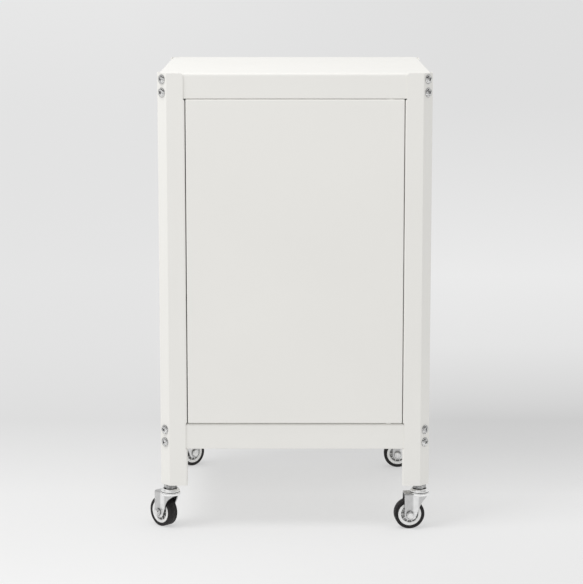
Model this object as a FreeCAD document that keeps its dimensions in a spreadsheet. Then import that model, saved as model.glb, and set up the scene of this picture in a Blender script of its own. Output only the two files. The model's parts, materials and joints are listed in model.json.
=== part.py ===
# Rolling locker cabinet: folded sheet-steel trays, posts and panels, one door, four swivel casters.
# Millimetres. X runs to the right, Y away from the door, Z up, and the origin lies on the floor
# under the middle of the cabinet.
import FreeCAD, Part
import math
import os
import Sketcher
from FreeCAD import Placement, Rotation, Vector

doc = FreeCAD.newDocument("rolling_locker_cabinet")
sheet = doc.addObject("Spreadsheet::Sheet", "sizes")
ALONG_X = Vector(1, 0, 0)
ALONG_Y = Vector(0, 1, 0)
ALONG_Z = Vector(0, 0, 1)
ROOT_TWO = math.sqrt(2)


class Size:
    """A length with its formula in the sheet's cells and its present value."""

    def __init__(self, text, value):
        self.text = text
        self.value = value

    def __add__(self, other):
        return joined(self, "+", other)

    def __radd__(self, other):
        return joined(other, "+", self)

    def __sub__(self, other):
        return joined(self, "-", other)

    def __rsub__(self, other):
        return joined(other, "-", self)

    def __mul__(self, other):
        return joined(self, "*", other)

    def __rmul__(self, other):
        return joined(other, "*", self)

    def __truediv__(self, other):
        return joined(self, "/", other)

    def __neg__(self):
        return joined(0, "-", self)


def as_size(thing):
    return thing if isinstance(thing, Size) else Size(f"({thing:.9f})", float(thing))


def joined(left, sign, right):
    a = as_size(left)
    b = as_size(right)
    value = {
        "+": lambda: a.value + b.value,
        "-": lambda: a.value - b.value,
        "*": lambda: a.value * b.value,
        "/": lambda: a.value / b.value,
    }[sign]()
    return Size(f"({a.text} {sign} {b.text})", value)


def diagonal(across, along):
    a = as_size(across)
    b = as_size(along)
    return Size(f"sqrt({a.text} ^ 2 + {b.text} ^ 2)", math.hypot(a.value, b.value))


rows_filled = 0


def size(name, value):
    """Put one driving dimension in the sheet and return it."""
    global rows_filled
    rows_filled += 1
    sheet.set(f"A{rows_filled}", name)
    sheet.set(f"B{rows_filled}", str(value))
    sheet.setAlias(f"B{rows_filled}", name)
    return Size(f"sizes.{name}", float(value))


# Whole cabinet
cabinet_width = size("cabinet_width", 400)
cabinet_depth = size("cabinet_depth", 400)
cabinet_height = size("cabinet_height", 680)
leg_length = size("leg_length", 56)

# Corner posts
post_sheet = size("post_sheet", 1.5)
post_width = size("post_width", 40)
post_lip = size("post_lip", 14)
post_inside_bend = size("post_inside_bend", 0.7)
corner_setback = size("corner_setback", 13.5)
post_top_round = size("post_top_round", 4)
notch_gap = size("notch_gap", 0.4)
notch_relief = size("notch_relief", 2.2)

# Top and bottom trays
tray_sheet = size("tray_sheet", 1)
tray_inside_bend = size("tray_inside_bend", 2.5)
tray_rim_bend = size("tray_rim_bend", 1.2)
top_tray_depth = size("top_tray_depth", 37)
top_tray_hem = size("top_tray_hem", 30)
bottom_tray_depth = size("bottom_tray_depth", 38)
bottom_tray_hem = size("bottom_tray_hem", 12)

# Fixed panels
panel_sheet = size("panel_sheet", 1)
panel_depth = size("panel_depth", 14)
panel_inside_bend = size("panel_inside_bend", 1.4)
panel_hem = size("panel_hem", 12)
panel_gap = size("panel_gap", 0.3)

# Rivets that hold the panels to the posts
rivet_radius = size("rivet_radius", 2)
rivet_head_radius = size("rivet_head_radius", 3.8)
rivet_head_height = size("rivet_head_height", 1.2)
rivet_tail_radius = size("rivet_tail_radius", 2.9)
rivet_tail_height = size("rivet_tail_height", 1.4)
rivet_hole_gap = size("rivet_hole_gap", 0.05)
rivet_pitch = size("rivet_pitch", 172)

# Screws and nuts at the tray corners
screw_radius = size("screw_radius", 3)
screw_hole_gap = size("screw_hole_gap", 0.3)
screw_length = size("screw_length", 12)
screw_head_radius = size("screw_head_radius", 7)
screw_head_height = size("screw_head_height", 3.3)
screw_head_rim = size("screw_head_rim", 0.8)
screw_recess_length = size("screw_recess_length", 6.2)
screw_recess_width = size("screw_recess_width", 1.3)
screw_recess_depth = size("screw_recess_depth", 1.7)
screw_pitch = size("screw_pitch", 19)
nut_across_flats = size("nut_across_flats", 10)
nut_height = size("nut_height", 5)
thread_gap = size("thread_gap", 0.05)

# Door
door_sheet = size("door_sheet", 1)
door_thickness = size("door_thickness", 15)
door_latch_gap = size("door_latch_gap", 1.3)
door_hinge_gap = size("door_hinge_gap", 1)
door_bottom_gap = size("door_bottom_gap", 1.2)
door_top_gap = size("door_top_gap", 0.7)
door_inside_bend = size("door_inside_bend", 0.6)
door_hem = size("door_hem", 10)
stiffener_sheet = size("stiffener_sheet", 1)
stiffener_crown = size("stiffener_crown", 40)
stiffener_flange = size("stiffener_flange", 14)
stiffener_depth = size("stiffener_depth", 11)
stiffener_end_gap = size("stiffener_end_gap", 6)

# Door hinge
hinge_from_side = size("hinge_from_side", 20)
hinge_from_face = size("hinge_from_face", 7)
pin_radius = size("pin_radius", 2)
pin_collar_radius = size("pin_collar_radius", 4)
pin_collar_height = size("pin_collar_height", 1.5)
pin_tail = size("pin_tail", 8)
pin_reach = size("pin_reach", 6)
pin_running_gap = size("pin_running_gap", 0.05)
bush_wall = size("bush_wall", 1)
bush_flange_radius = size("bush_flange_radius", 4.5)
bush_flange_gap = size("bush_flange_gap", 0.1)
bush_spigot_beyond = size("bush_spigot_beyond", 1)

# Push latch and its strike
latch_from_side = size("latch_from_side", 28)
latch_width = size("latch_width", 16)
latch_height = size("latch_height", 14)
latch_length = size("latch_length", 46)
latch_end_wall = size("latch_end_wall", 4)
latch_ear_span = size("latch_ear_span", 42)
latch_ear_depth = size("latch_ear_depth", 9)
latch_ear_sheet = size("latch_ear_sheet", 2)
latch_screw_spacing = size("latch_screw_spacing", 31)
latch_screw_radius = size("latch_screw_radius", 2)
latch_screw_head_radius = size("latch_screw_head_radius", 3.5)
latch_screw_head_height = size("latch_screw_head_height", 2.2)
latch_screw_reach = size("latch_screw_reach", 4)
latch_press_travel = size("latch_press_travel", 2.5)
plunger_radius = size("plunger_radius", 4)
plunger_length = size("plunger_length", 31)
plunger_out = size("plunger_out", 5)
plunger_edge = size("plunger_edge", 0.5)
latch_edge = size("latch_edge", 3)
latch_pin_radius = size("latch_pin_radius", 0.9)
latch_pin_from_front = size("latch_pin_from_front", 9)
latch_pin_end_gap = size("latch_pin_end_gap", 0.5)
magnet_radius = size("magnet_radius", 3)
magnet_length = size("magnet_length", 3)
strike_width = size("strike_width", 22)
strike_height = size("strike_height", 12)
strike_sheet = size("strike_sheet", 1.2)
strike_corner = size("strike_corner", 1.5)
spring_radius = size("spring_radius", 2.8)
spring_wire = size("spring_wire", 0.7)
spring_seat_gap = size("spring_seat_gap", 0.1)
spring_turns = size("spring_turns", 6)

# Door stop
stop_from_side = size("stop_from_side", 30)
stop_width = size("stop_width", 26)
stop_sheet = size("stop_sheet", 1.5)
stop_height = size("stop_height", 12)
stop_foot = size("stop_foot", 14)
bumper_radius = size("bumper_radius", 4)
bumper_length = size("bumper_length", 3)
bumper_edge = size("bumper_edge", 0.8)
bumper_gap = size("bumper_gap", 0.3)

# Shelf and its clips
shelf_level = size("shelf_level", 402)
shelf_sheet = size("shelf_sheet", 1)
shelf_depth_of_edge = size("shelf_depth_of_edge", 20)
shelf_inside_bend = size("shelf_inside_bend", 1.5)
shelf_hem = size("shelf_hem", 12)
shelf_side_gap = size("shelf_side_gap", 4)
shelf_rear_gap = size("shelf_rear_gap", 4)
shelf_door_gap = size("shelf_door_gap", 3)
clip_sheet = size("clip_sheet", 1.2)
clip_width = size("clip_width", 9)
clip_foot = size("clip_foot", 13)
clip_leg = size("clip_leg", 15)
clip_tab_width = size("clip_tab_width", 5)
clip_tab_height = size("clip_tab_height", 5)
clip_tab_reach = size("clip_tab_reach", 3)
slot_gap = size("slot_gap", 0.5)
slot_pitch = size("slot_pitch", 32)
slot_count = size("slot_count", 5)

# Caster stem and swivel head
stem_inset = size("stem_inset", 13.7)
stem_radius = size("stem_radius", 5)
stem_above_nut = size("stem_above_nut", 2)
foot_plate_sheet = size("foot_plate_sheet", 3)
foot_plate_round = size("foot_plate_round", 1.2)
weld_nut_radius = size("weld_nut_radius", 7.2)
weld_nut_height = size("weld_nut_height", 8)
stem_nut_across_flats = size("stem_nut_across_flats", 17)
stem_nut_height = size("stem_nut_height", 8.5)
cup_radius = size("cup_radius", 14.4)
cup_rim = size("cup_rim", 1.4)
cup_height = size("cup_height", 2.9)
cup_crown_radius = size("cup_crown_radius", 10)
swivel_gap = size("swivel_gap", 0.2)
race_radius = size("race_radius", 15)
race_height = size("race_height", 3.4)
ball_radius = size("ball_radius", 1.2)
ball_circle_radius = size("ball_circle_radius", 8.8)
ball_gap = size("ball_gap", 0.05)
ball_count = size("ball_count", 8)
rivet_cap_radius = size("rivet_cap_radius", 7)
rivet_cap_height = size("rivet_cap_height", 1.6)

# Caster fork
caster_trail = size("caster_trail", 15.4)
fork_sheet = size("fork_sheet", 1.8)
fork_inside_width = size("fork_inside_width", 18.4)
fork_crown_above_tyre = size("fork_crown_above_tyre", 8.1)
fork_crown_sheet = size("fork_crown_sheet", 1.7)
fork_tail = size("fork_tail", 8.2)
fork_leg_round = size("fork_leg_round", 6.5)
fork_nose = size("fork_nose", 12)
fork_nose_radius = size("fork_nose_radius", 10.6)
fork_crease = size("fork_crease", 9.8)
fork_skirt = size("fork_skirt", 3)
fork_shoulder_back = size("fork_shoulder_back", 8)
fork_shoulder_drop = size("fork_shoulder_drop", 10.6)
fork_knee_back = size("fork_knee_back", 13)
fork_knee_drop = size("fork_knee_drop", 19)
fork_sweep = size("fork_sweep", 12)

# Caster wheel and axle
wheel_radius = size("wheel_radius", 22.5)
wheel_width = size("wheel_width", 16.4)
tyre_thickness = size("tyre_thickness", 5.2)
tyre_shoulder = size("tyre_shoulder", 1.2)
tyre_seat_width = size("tyre_seat_width", 14.4)
rim_thickness = size("rim_thickness", 4.4)
core_web = size("core_web", 7)
hub_radius = size("hub_radius", 6)
hub_side_gap = size("hub_side_gap", 0.5)
rib_sheet = size("rib_sheet", 1.6)
rib_drop = size("rib_drop", 0.8)
rib_count = size("rib_count", 10)
axle_radius = size("axle_radius", 3)
axle_running_gap = size("axle_running_gap", 0.05)
axle_across_flats = size("axle_across_flats", 10)
axle_head_height = size("axle_head_height", 4)
axle_nut_height = size("axle_nut_height", 4)
axle_nut_dome = size("axle_nut_dome", 3.4)

# Which way each caster trails at rest, in degrees about Z from +X
CASTERS = {
    "front_left": (-1, -1, 135),
    "front_right": (1, -1, 186),
    "rear_right": (1, 1, 180),
    "rear_left": (-1, 1, 38),
}

# Sizes that follow from the ones above
half_width = cabinet_width / 2
half_depth = cabinet_depth / 2
post_outside_bend = post_inside_bend + post_sheet
crown_underside = 2 * wheel_radius + fork_crown_above_tyre
crown_top = crown_underside + fork_crown_sheet
race_top = crown_top + 0.6 * ball_radius
race_bottom = race_top - race_height
cup_bottom = race_top + swivel_gap
cup_top = cup_bottom + cup_height
leg_bottom = cup_top + stem_nut_height
tray_bottom = leg_bottom + leg_length
floor_level = tray_bottom + bottom_tray_depth
lintel_level = cabinet_height - top_tray_depth
stem_top = leg_bottom + foot_plate_sheet + weld_nut_height + stem_above_nut
ball_level = race_top + swivel_gap / 2
opening_half_width = half_width - post_width
opening_half_depth = half_depth - post_width
screw_hole_radius = screw_radius + screw_hole_gap
tray_half_width = half_width - post_sheet
tray_half_depth = half_depth - post_sheet
tray_setback = corner_setback - (2 - ROOT_TWO) * post_sheet
top_screw_levels = (
    lintel_level + top_tray_depth / 2 - screw_pitch / 2,
    lintel_level + top_tray_depth / 2 + screw_pitch / 2,
)
bottom_screw_levels = (
    tray_bottom + bottom_tray_depth / 2 - screw_pitch / 2,
    tray_bottom + bottom_tray_depth / 2 + screw_pitch / 2,
)
panel_middle = (floor_level + lintel_level) / 2
rivet_levels = (panel_middle - rivet_pitch, panel_middle, panel_middle + rivet_pitch)
rivet_hole_radius = rivet_radius + rivet_hole_gap
door_back = -half_depth + door_thickness
door_bottom = floor_level + door_bottom_gap
door_top = lintel_level - door_top_gap
door_middle = (door_bottom + door_top) / 2
door_half_width = opening_half_width - (door_latch_gap + door_hinge_gap) / 2
door_x = (door_latch_gap - door_hinge_gap) / 2
hinge_x = door_x + door_half_width - hinge_from_side
hinge_y = -half_depth + hinge_from_face
bush_bore = pin_radius + pin_running_gap
bush_radius = bush_bore + bush_wall
latch_x = door_x - door_half_width + latch_from_side
strike_back = door_back + strike_sheet
latch_front = strike_back + plunger_out
latch_z = lintel_level - latch_height / 2
latch_screw_y = latch_front + latch_ear_depth / 2
plunger_back = strike_back + plunger_length
latch_bore_end = latch_front + latch_length - latch_end_wall
latch_pin_y = latch_front + latch_pin_from_front
shelf_underside = shelf_level - shelf_depth_of_edge
clip_slot_z = shelf_underside - clip_leg / 2
clip_row_y = opening_half_depth - panel_gap - panel_hem / 2
panel_inner_x = half_width - panel_depth
shelf_half_width = panel_inner_x - shelf_side_gap
door_swing = diagonal(hinge_from_side, door_thickness - hinge_from_face)
shelf_front = hinge_y + door_swing + shelf_door_gap
shelf_rear = half_depth - panel_depth - shelf_rear_gap
leg_inside = fork_inside_width / 2
leg_outside = leg_inside + fork_sheet
core_radius = wheel_radius - tyre_thickness
hub_half_length = leg_inside - hub_side_gap

parts = []


def bind(thing, name, formula):
    """Tie a property to the sheet."""
    thing.setExpression(name, as_size(formula).text)


def place(thing, x=0, y=0, z=0, rotation=None):
    """Put a sub-part where its formulas say."""
    thing.Placement = Placement(Vector(0, 0, 0), rotation or Rotation())
    bind(thing, "Placement.Base.x", x)
    bind(thing, "Placement.Base.y", y)
    bind(thing, "Placement.Base.z", z)


def new_body(name, is_part=True):
    body = doc.addObject("PartDesign::Body", name)
    body.Label = name
    if is_part:
        parts.append(body)
    return body


def sketch_on(body, role, rise=None):
    plane = next(f for f in body.Origin.OriginFeatures if f.Role == role)
    sketch = body.newObject("Sketcher::SketchObject", "Sketch")
    sketch.AttachmentSupport = (plane, [""])
    sketch.MapMode = "FlatFace"
    if rise is not None:
        bind(sketch, "AttachmentOffset.Base.z", rise)
    return sketch


def pin_point(sketch, geometry, end, x, y):
    """Hold one point of a sketch at the place its formulas give."""
    for kind, axis, formula in (("DistanceX", -2, x), ("DistanceY", -1, y)):
        formula = as_size(formula)
        if formula.value == 0:
            sketch.addConstraint(Sketcher.Constraint("PointOnObject", geometry, end, axis))
            continue
        index = sketch.addConstraint(
            Sketcher.Constraint(kind, -1, 1, geometry, end, formula.value)
        )
        bind(sketch, f"Constraints[{index}]", formula)


def polygon(sketch, points):
    """Draw a closed outline through points given as formulas."""
    first = sketch.GeometryCount
    count = len(points)
    spots = [Vector(as_size(x).value, as_size(y).value, 0) for x, y in points]
    for i in range(count):
        sketch.addGeometry(Part.LineSegment(spots[i], spots[(i + 1) % count]), False)
    for i in range(count):
        following = first + (i + 1) % count
        sketch.addConstraint(Sketcher.Constraint("Coincident", first + i, 2, following, 1))
    for i, (x, y) in enumerate(points):
        pin_point(sketch, first + i, 1, x, y)


def circle(sketch, radius, x=0, y=0):
    radius = as_size(radius)
    centre = Vector(as_size(x).value, as_size(y).value, 0)
    index = sketch.addGeometry(Part.Circle(centre, ALONG_Z, radius.value), False)
    at = sketch.addConstraint(Sketcher.Constraint("Radius", index, radius.value))
    bind(sketch, f"Constraints[{at}]", radius)
    pin_point(sketch, index, 3, x, y)


def hexagon(sketch, across_flats):
    reach = across_flats / math.sqrt(3)
    turns = [math.radians(30 + 60 * i) for i in range(6)]
    polygon(sketch, [(reach * math.cos(a), reach * math.sin(a)) for a in turns])


def rectangle(half_x, half_y):
    return [(-half_x, -half_y), (half_x, -half_y), (half_x, half_y), (-half_x, half_y)]


def octagon(half_x, half_y, setback):
    """A rectangle whose four corners are cut off at 45 degrees."""
    return [
        (-half_x + setback, -half_y),
        (half_x - setback, -half_y),
        (half_x, -half_y + setback),
        (half_x, half_y - setback),
        (half_x - setback, half_y),
        (-half_x + setback, half_y),
        (-half_x, half_y - setback),
        (-half_x, -half_y + setback),
    ]


def pad(body, sketch, length, both_ways=False):
    feature = body.newObject("PartDesign::Pad", "Pad")
    feature.Profile = sketch
    bind(feature, "Length", length)
    feature.Midplane = both_ways
    doc.recompute()
    return feature


def pocket(body, sketch, length, forward=False, both_ways=False):
    """Cut a sketch's outline away, backwards from its plane unless told otherwise."""
    before = body.Shape.Volume
    feature = body.newObject("PartDesign::Pocket", "Pocket")
    feature.Profile = sketch
    bind(feature, "Length", length)
    feature.Reversed = forward
    feature.Midplane = both_ways
    doc.recompute()
    if not feature.Shape.Volume < before:
        raise RuntimeError(f"a pocket in {body.Label} cuts nothing")
    return feature


def revolve(body, sketch, cut=False):
    """Turn a sketch in the XZ plane about Z."""
    kind = "Groove" if cut else "Revolution"
    feature = body.newObject("PartDesign::" + kind, kind)
    feature.Profile = sketch
    feature.ReferenceAxis = (sketch, ["V_Axis"])
    feature.Angle = 360
    doc.recompute()
    return feature


def drill(body, radius, length, x, y, z, rotation=None):
    """Cut a round hole centred on a point, along Z unless turned."""
    before = body.Shape.Volume
    feature = body.newObject("PartDesign::SubtractiveCylinder", "Hole")
    bind(feature, "Radius", radius)
    bind(feature, "Height", length)
    turn = rotation or Rotation()
    back = turn.multVec(Vector(0, 0, -0.5))
    feature.Placement = Placement(Vector(0, 0, 0), turn)
    bind(feature, "Placement.Base.x", as_size(x) + back.x * as_size(length))
    bind(feature, "Placement.Base.y", as_size(y) + back.y * as_size(length))
    bind(feature, "Placement.Base.z", as_size(z) + back.z * as_size(length))
    doc.recompute()
    if not feature.Shape.Volume < before:
        raise RuntimeError(f"a hole in {body.Label} cuts nothing")
    return feature


def edges_where(feature, wanted):
    return [f"Edge{i + 1}" for i, e in enumerate(feature.Shape.Edges) if wanted(e)]


def is_upright(edge):
    low = edge.BoundBox
    return low.ZLength > 1e-6 and low.XLength < 1e-6 and low.YLength < 1e-6


def lies_at(edge, level):
    box = edge.BoundBox
    return abs(box.ZMin - level) < 1e-6 and abs(box.ZMax - level) < 1e-6


def round_edges(body, feature, names, radius):
    if not names:
        raise RuntimeError(f"no edges to round on {body.Label}")
    rounded = body.newObject("PartDesign::Fillet", "Fillet")
    rounded.Base = (feature, names)
    bind(rounded, "Radius", radius)
    doc.recompute()
    return rounded


def pan(name, outline, window, depth, gauge, bend, hem_outline, rim=None):
    """A folded pan: its face is at Z = depth, its rim with a turned-in hem is at Z = 0."""
    body = new_body(name)
    sketch = sketch_on(body, "XY_Plane")
    polygon(sketch, outline)
    blank = pad(body, sketch, depth)
    cornered = round_edges(body, blank, edges_where(blank, is_upright), bend + gauge)
    top_edges = edges_where(cornered, lambda e: lies_at(e, depth.value))
    folded = round_edges(body, cornered, top_edges, bend + gauge)
    underside = next(
        f"Face{i + 1}" for i, f in enumerate(folded.Shape.Faces) if f.BoundBox.ZMax < 1e-6
    )
    shell = body.newObject("PartDesign::Thickness", "Thickness")
    shell.Base = (folded, [underside])
    bind(shell, "Value", gauge)
    shell.Reversed = True
    doc.recompute()
    ring = sketch_on(body, "XY_Plane")
    polygon(ring, hem_outline)
    polygon(ring, window)
    hem = pad(body, ring, gauge)
    if rim is None:
        return body
    window_x = max(as_size(x).value for x, y in window)
    window_y = max(as_size(y).value for x, y in window)

    def on_outer_rim(edge):
        middle = edge.BoundBox.Center
        return lies_at(edge, 0) and (abs(middle.x) > window_x + 1 or abs(middle.y) > window_y + 1)

    round_edges(body, hem, edges_where(hem, on_outer_rim), rim)
    return body


def box_pan(name, half_x, half_y, depth, gauge, bend, hem):
    """A four-sided pan whose hem is the same width all round."""
    lap = gauge / 2
    return pan(
        name,
        rectangle(half_x, half_y),
        rectangle(half_x - hem, half_y - hem),
        depth,
        gauge,
        bend,
        octagon(half_x - lap, half_y - lap, (2 - ROOT_TWO) * (bend + gauge)),
    )


def group(name, master, placements):
    """Identical pieces in one node, each a solid of its own."""
    doc.recompute()
    node = doc.addObject("Part::Feature", name)
    node.Label = name
    node.Shape = Part.makeCompound([master.Shape.transformed(p.toMatrix()) for p in placements])
    node.Placement = Placement()
    parts.append(node)
    return node


def at(x, y, z, rotation=None):
    spot = Vector(as_size(x).value, as_size(y).value, as_size(z).value)
    return Placement(spot, rotation or Rotation())


# Corner posts: the front left one is drawn from the cabinet's outer corner, the others are turned
POSTS = {
    "front_left": (-1, -1, 0, (False, True)),
    "front_right": (1, -1, 90, (True, False)),
    "rear_right": (1, 1, 180, (True, True)),
    "rear_left": (-1, 1, 270, (True, True)),
}
POST_DIAGONAL = Rotation(Vector(0, 0, 1), Vector(1, 1, 0))


def post_profile():
    inner_setback = corner_setback + (ROOT_TWO - 1) * post_sheet
    inner_width = post_width - post_sheet
    return [
        (post_width, post_lip),
        (post_width, 0),
        (corner_setback, 0),
        (0, corner_setback),
        (0, post_width),
        (post_lip, post_width),
        (post_lip, inner_width),
        (post_sheet, inner_width),
        (post_sheet, inner_setback),
        (inner_setback, post_sheet),
        (inner_width, post_sheet),
        (inner_width, post_lip),
    ]


def lip_notch(low, high, relief_above):
    """The stretch where a lip is cut away so that the post's face passes over a tray."""
    inner = post_width - post_outside_bend
    outer = post_width + post_sheet
    if relief_above:
        return [
            (inner, low),
            (outer, low),
            (outer, high + post_sheet + notch_relief),
            (inner + notch_relief, high + notch_relief),
            (inner, high),
        ]
    return [
        (inner, low),
        (inner + notch_relief, low - notch_relief),
        (outer, low - notch_relief - post_sheet),
        (outer, high),
        (inner, high),
    ]


def make_post(corner, side_x, side_y, turn, riveted):
    body = new_body("post_" + corner)
    sketch = sketch_on(body, "XY_Plane")
    polygon(sketch, post_profile())
    height = cabinet_height - leg_bottom
    blank = pad(body, sketch, height)
    inner_bends = [
        (post_sheet, post_width - post_sheet),
        (post_width - post_sheet, post_sheet),
        (post_sheet, corner_setback + (ROOT_TWO - 1) * post_sheet),
        (corner_setback + (ROOT_TWO - 1) * post_sheet, post_sheet),
    ]
    outer_bends = [
        (post_width, as_size(0)),
        (as_size(0), post_width),
        (corner_setback, as_size(0)),
        (as_size(0), corner_setback),
    ]

    def at_bend(bends):
        def wanted(edge):
            spot = edge.Vertexes[0].Point
            return is_upright(edge) and any(
                abs(spot.x - x.value) < 1e-6 and abs(spot.y - y.value) < 1e-6 for x, y in bends
            )

        return wanted

    inside = round_edges(body, blank, edges_where(blank, at_bend(inner_bends)), post_inside_bend)
    round_edges(body, inside, edges_where(inside, at_bend(outer_bends)), post_outside_bend)
    bottom_notch = lip_notch(
        tray_bottom - leg_bottom - notch_gap, floor_level - leg_bottom, True
    )
    top_notch = lip_notch(lintel_level - leg_bottom - notch_gap, height + post_sheet, False)
    for role, sign in (("XZ_Plane", 1), ("YZ_Plane", 1)):
        for notch in (bottom_notch, top_notch):
            cutter = sketch_on(body, role)
            polygon(cutter, [(sign * as_size(x), z) for x, z in notch])
            pocket(body, cutter, 4 * post_width, both_ways=True)
    flange_end = (post_width - post_outside_bend).value

    def at_top_corner(edge):
        box = edge.BoundBox
        level = lies_at(edge, height.value)
        on_x = abs(box.XMin - flange_end) < 1e-6 and abs(box.XMax - flange_end) < 1e-6
        on_y = abs(box.YMin - flange_end) < 1e-6 and abs(box.YMax - flange_end) < 1e-6
        return level and (on_x or on_y)

    tip = body.Tip
    round_edges(body, tip, edges_where(tip, at_top_corner), post_top_round)
    for level in top_screw_levels + bottom_screw_levels:
        spot = corner_setback / 2
        drill(body, screw_hole_radius, 4 * post_sheet, spot, spot, level - leg_bottom, POST_DIAGONAL)
    for level in rivet_levels:
        z = level - leg_bottom
        middle = panel_depth / 2
        if riveted[0]:
            drill(body, rivet_hole_radius, 4 * post_sheet, post_width, middle, z,
                  Rotation(ALONG_Y, 90))
        if riveted[1]:
            drill(body, rivet_hole_radius, 4 * post_sheet, middle, post_width, z,
                  Rotation(ALONG_X, 90))
    place(body, side_x * half_width, side_y * half_depth, leg_bottom, Rotation(ALONG_Z, turn))


for corner, (side_x, side_y, turn, riveted) in POSTS.items():
    make_post(corner, side_x, side_y, turn, riveted)


# Trays: the top one is the cabinet's top, the bottom one is its floor
def make_tray(name, depth, hem, level, screw_levels):
    lap = tray_sheet / 2
    body = pan(
        name,
        octagon(tray_half_width, tray_half_depth, tray_setback),
        rectangle(tray_half_width - hem, tray_half_depth - hem),
        depth,
        tray_sheet,
        tray_inside_bend,
        octagon(tray_half_width - lap, tray_half_depth - lap, tray_setback - (2 - ROOT_TWO) * lap),
        tray_rim_bend,
    )
    place(body, z=level)
    for side_x in (-1, 1):
        for side_y in (-1, 1):
            along = Rotation(ALONG_Z, Vector(side_x, side_y, 0))
            for screw_level in screw_levels:
                drill(
                    body,
                    screw_hole_radius,
                    6 * post_sheet,
                    side_x * (half_width - corner_setback / 2),
                    side_y * (half_depth - corner_setback / 2),
                    screw_level - level,
                    along,
                )
    return body


top_tray = make_tray("top_tray", top_tray_depth, top_tray_hem, lintel_level, top_screw_levels)
drill(top_tray, bush_radius, 4 * tray_sheet, hinge_x, hinge_y, 0)
for side in (-1, 1):
    x = latch_x + side * latch_screw_spacing / 2
    drill(top_tray, latch_screw_radius + rivet_hole_gap, 4 * tray_sheet, x, latch_screw_y, 0)

bottom_tray = make_tray(
    "bottom_tray", bottom_tray_depth, bottom_tray_hem, tray_bottom, bottom_screw_levels
)
drill(bottom_tray, bush_radius, 4 * tray_sheet, hinge_x, hinge_y, bottom_tray_depth)


# Fixed panels on the left, right and rear
def make_panel(name, opening, turn, x, y, slotted):
    half_x = opening - panel_gap
    half_z = (lintel_level - floor_level) / 2 - panel_gap
    body = box_pan(
        name, half_x, half_z, panel_depth, panel_sheet, panel_inside_bend, panel_hem
    )
    for level in rivet_levels:
        drill(body, rivet_hole_radius, 4 * half_x, 0, level - panel_middle, panel_depth / 2,
              Rotation(ALONG_Y, 90))
    if slotted:
        sketch = sketch_on(body, "XY_Plane")
        slot_x = clip_tab_width / 2 + slot_gap / 2
        slot_z = clip_tab_height / 2 + slot_gap / 2
        lowest = clip_slot_z - panel_middle - (slot_count - 1) / 2 * slot_pitch
        for side in (-1, 1):
            middle = side * (half_x - panel_hem / 2)
            polygon(sketch, [
                (middle - slot_x, lowest - slot_z),
                (middle + slot_x, lowest - slot_z),
                (middle + slot_x, lowest + slot_z),
                (middle - slot_x, lowest + slot_z),
            ])
        slots = pocket(body, sketch, 2 * panel_sheet, forward=True)
        row = body.newObject("PartDesign::LinearPattern", "LinearPattern")
        row.Originals = [slots]
        row.Direction = (sketch, ["V_Axis"])
        bind(row, "Length", (slot_count - 1) * slot_pitch)
        bind(row, "Occurrences", slot_count)
        body.Tip = row
    stand = Rotation(ALONG_Z, turn) * Rotation(ALONG_X, 90)
    place(body, x, y, panel_middle, stand)
    return body


make_panel("left_panel", opening_half_depth, -90, -panel_inner_x, 0, True)
make_panel("right_panel", opening_half_depth, 90, panel_inner_x, 0, True)
make_panel("rear_panel", opening_half_width, 180, 0, half_depth - panel_depth, False)


# Blind rivets through the panels' edges and the posts' lips
def rivet_master():
    body = new_body("rivet_master", is_part=False)
    grip = panel_sheet + panel_gap + post_sheet
    sketch = sketch_on(body, "XZ_Plane")
    polygon(sketch, [
        (0, -rivet_head_height),
        (rivet_head_radius * 0.7, -rivet_head_height),
        (rivet_head_radius, -rivet_head_height / 3),
        (rivet_head_radius, 0),
        (rivet_radius, 0),
        (rivet_radius, grip),
        (rivet_tail_radius, grip),
        (rivet_tail_radius, grip + rivet_tail_height * 0.7),
        (rivet_tail_radius * 0.6, grip + rivet_tail_height),
        (0, grip + rivet_tail_height),
    ])
    revolve(body, sketch)
    return body


def rivet_places():
    spots = []
    inside_y = opening_half_depth - panel_gap - panel_sheet
    inside_x = opening_half_width - panel_gap - panel_sheet
    side_x = half_width - panel_depth / 2
    rear_y = half_depth - panel_depth / 2
    for z in rivet_levels:
        for side in (-1, 1):
            for way in (-1, 1):
                along = Rotation(ALONG_Z, Vector(0, way, 0))
                spots.append(at(side * side_x, way * inside_y, z, along))
            along = Rotation(ALONG_Z, Vector(side, 0, 0))
            spots.append(at(side * inside_x, rear_y, z, along))
    return spots


group("panel_rivets", rivet_master(), rivet_places())


# Screws and nuts that hold the trays to the posts
def screw_master():
    body = new_body("screw_master", is_part=False)
    sketch = sketch_on(body, "XZ_Plane")
    polygon(sketch, [
        (0, -screw_length),
        (screw_radius * 0.8, -screw_length),
        (screw_radius, -screw_length + screw_radius * 0.2),
        (screw_radius, 0),
        (screw_head_radius, 0),
        (screw_head_radius, screw_head_rim),
        (screw_head_radius * 0.86, screw_head_height * 0.62),
        (screw_head_radius * 0.6, screw_head_height * 0.88),
        (screw_head_radius * 0.3, screw_head_height),
        (0, screw_head_height),
    ])
    revolve(body, sketch)
    cross = sketch_on(body, "XY_Plane", screw_head_height)
    long = screw_recess_length / 2
    thin = screw_recess_width / 2
    polygon(cross, [
        (-long, -thin), (-thin, -thin), (-thin, -long), (thin, -long), (thin, -thin), (long, -thin),
        (long, thin), (thin, thin), (thin, long), (-thin, long), (-thin, thin), (-long, thin),
    ])
    pocket(body, cross, screw_recess_depth)
    return body


def nut_master(name, across_flats, height, bore):
    body = new_body(name, is_part=False)
    sketch = sketch_on(body, "XY_Plane")
    hexagon(sketch, across_flats)
    circle(sketch, bore)
    pad(body, sketch, height)
    return body


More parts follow.
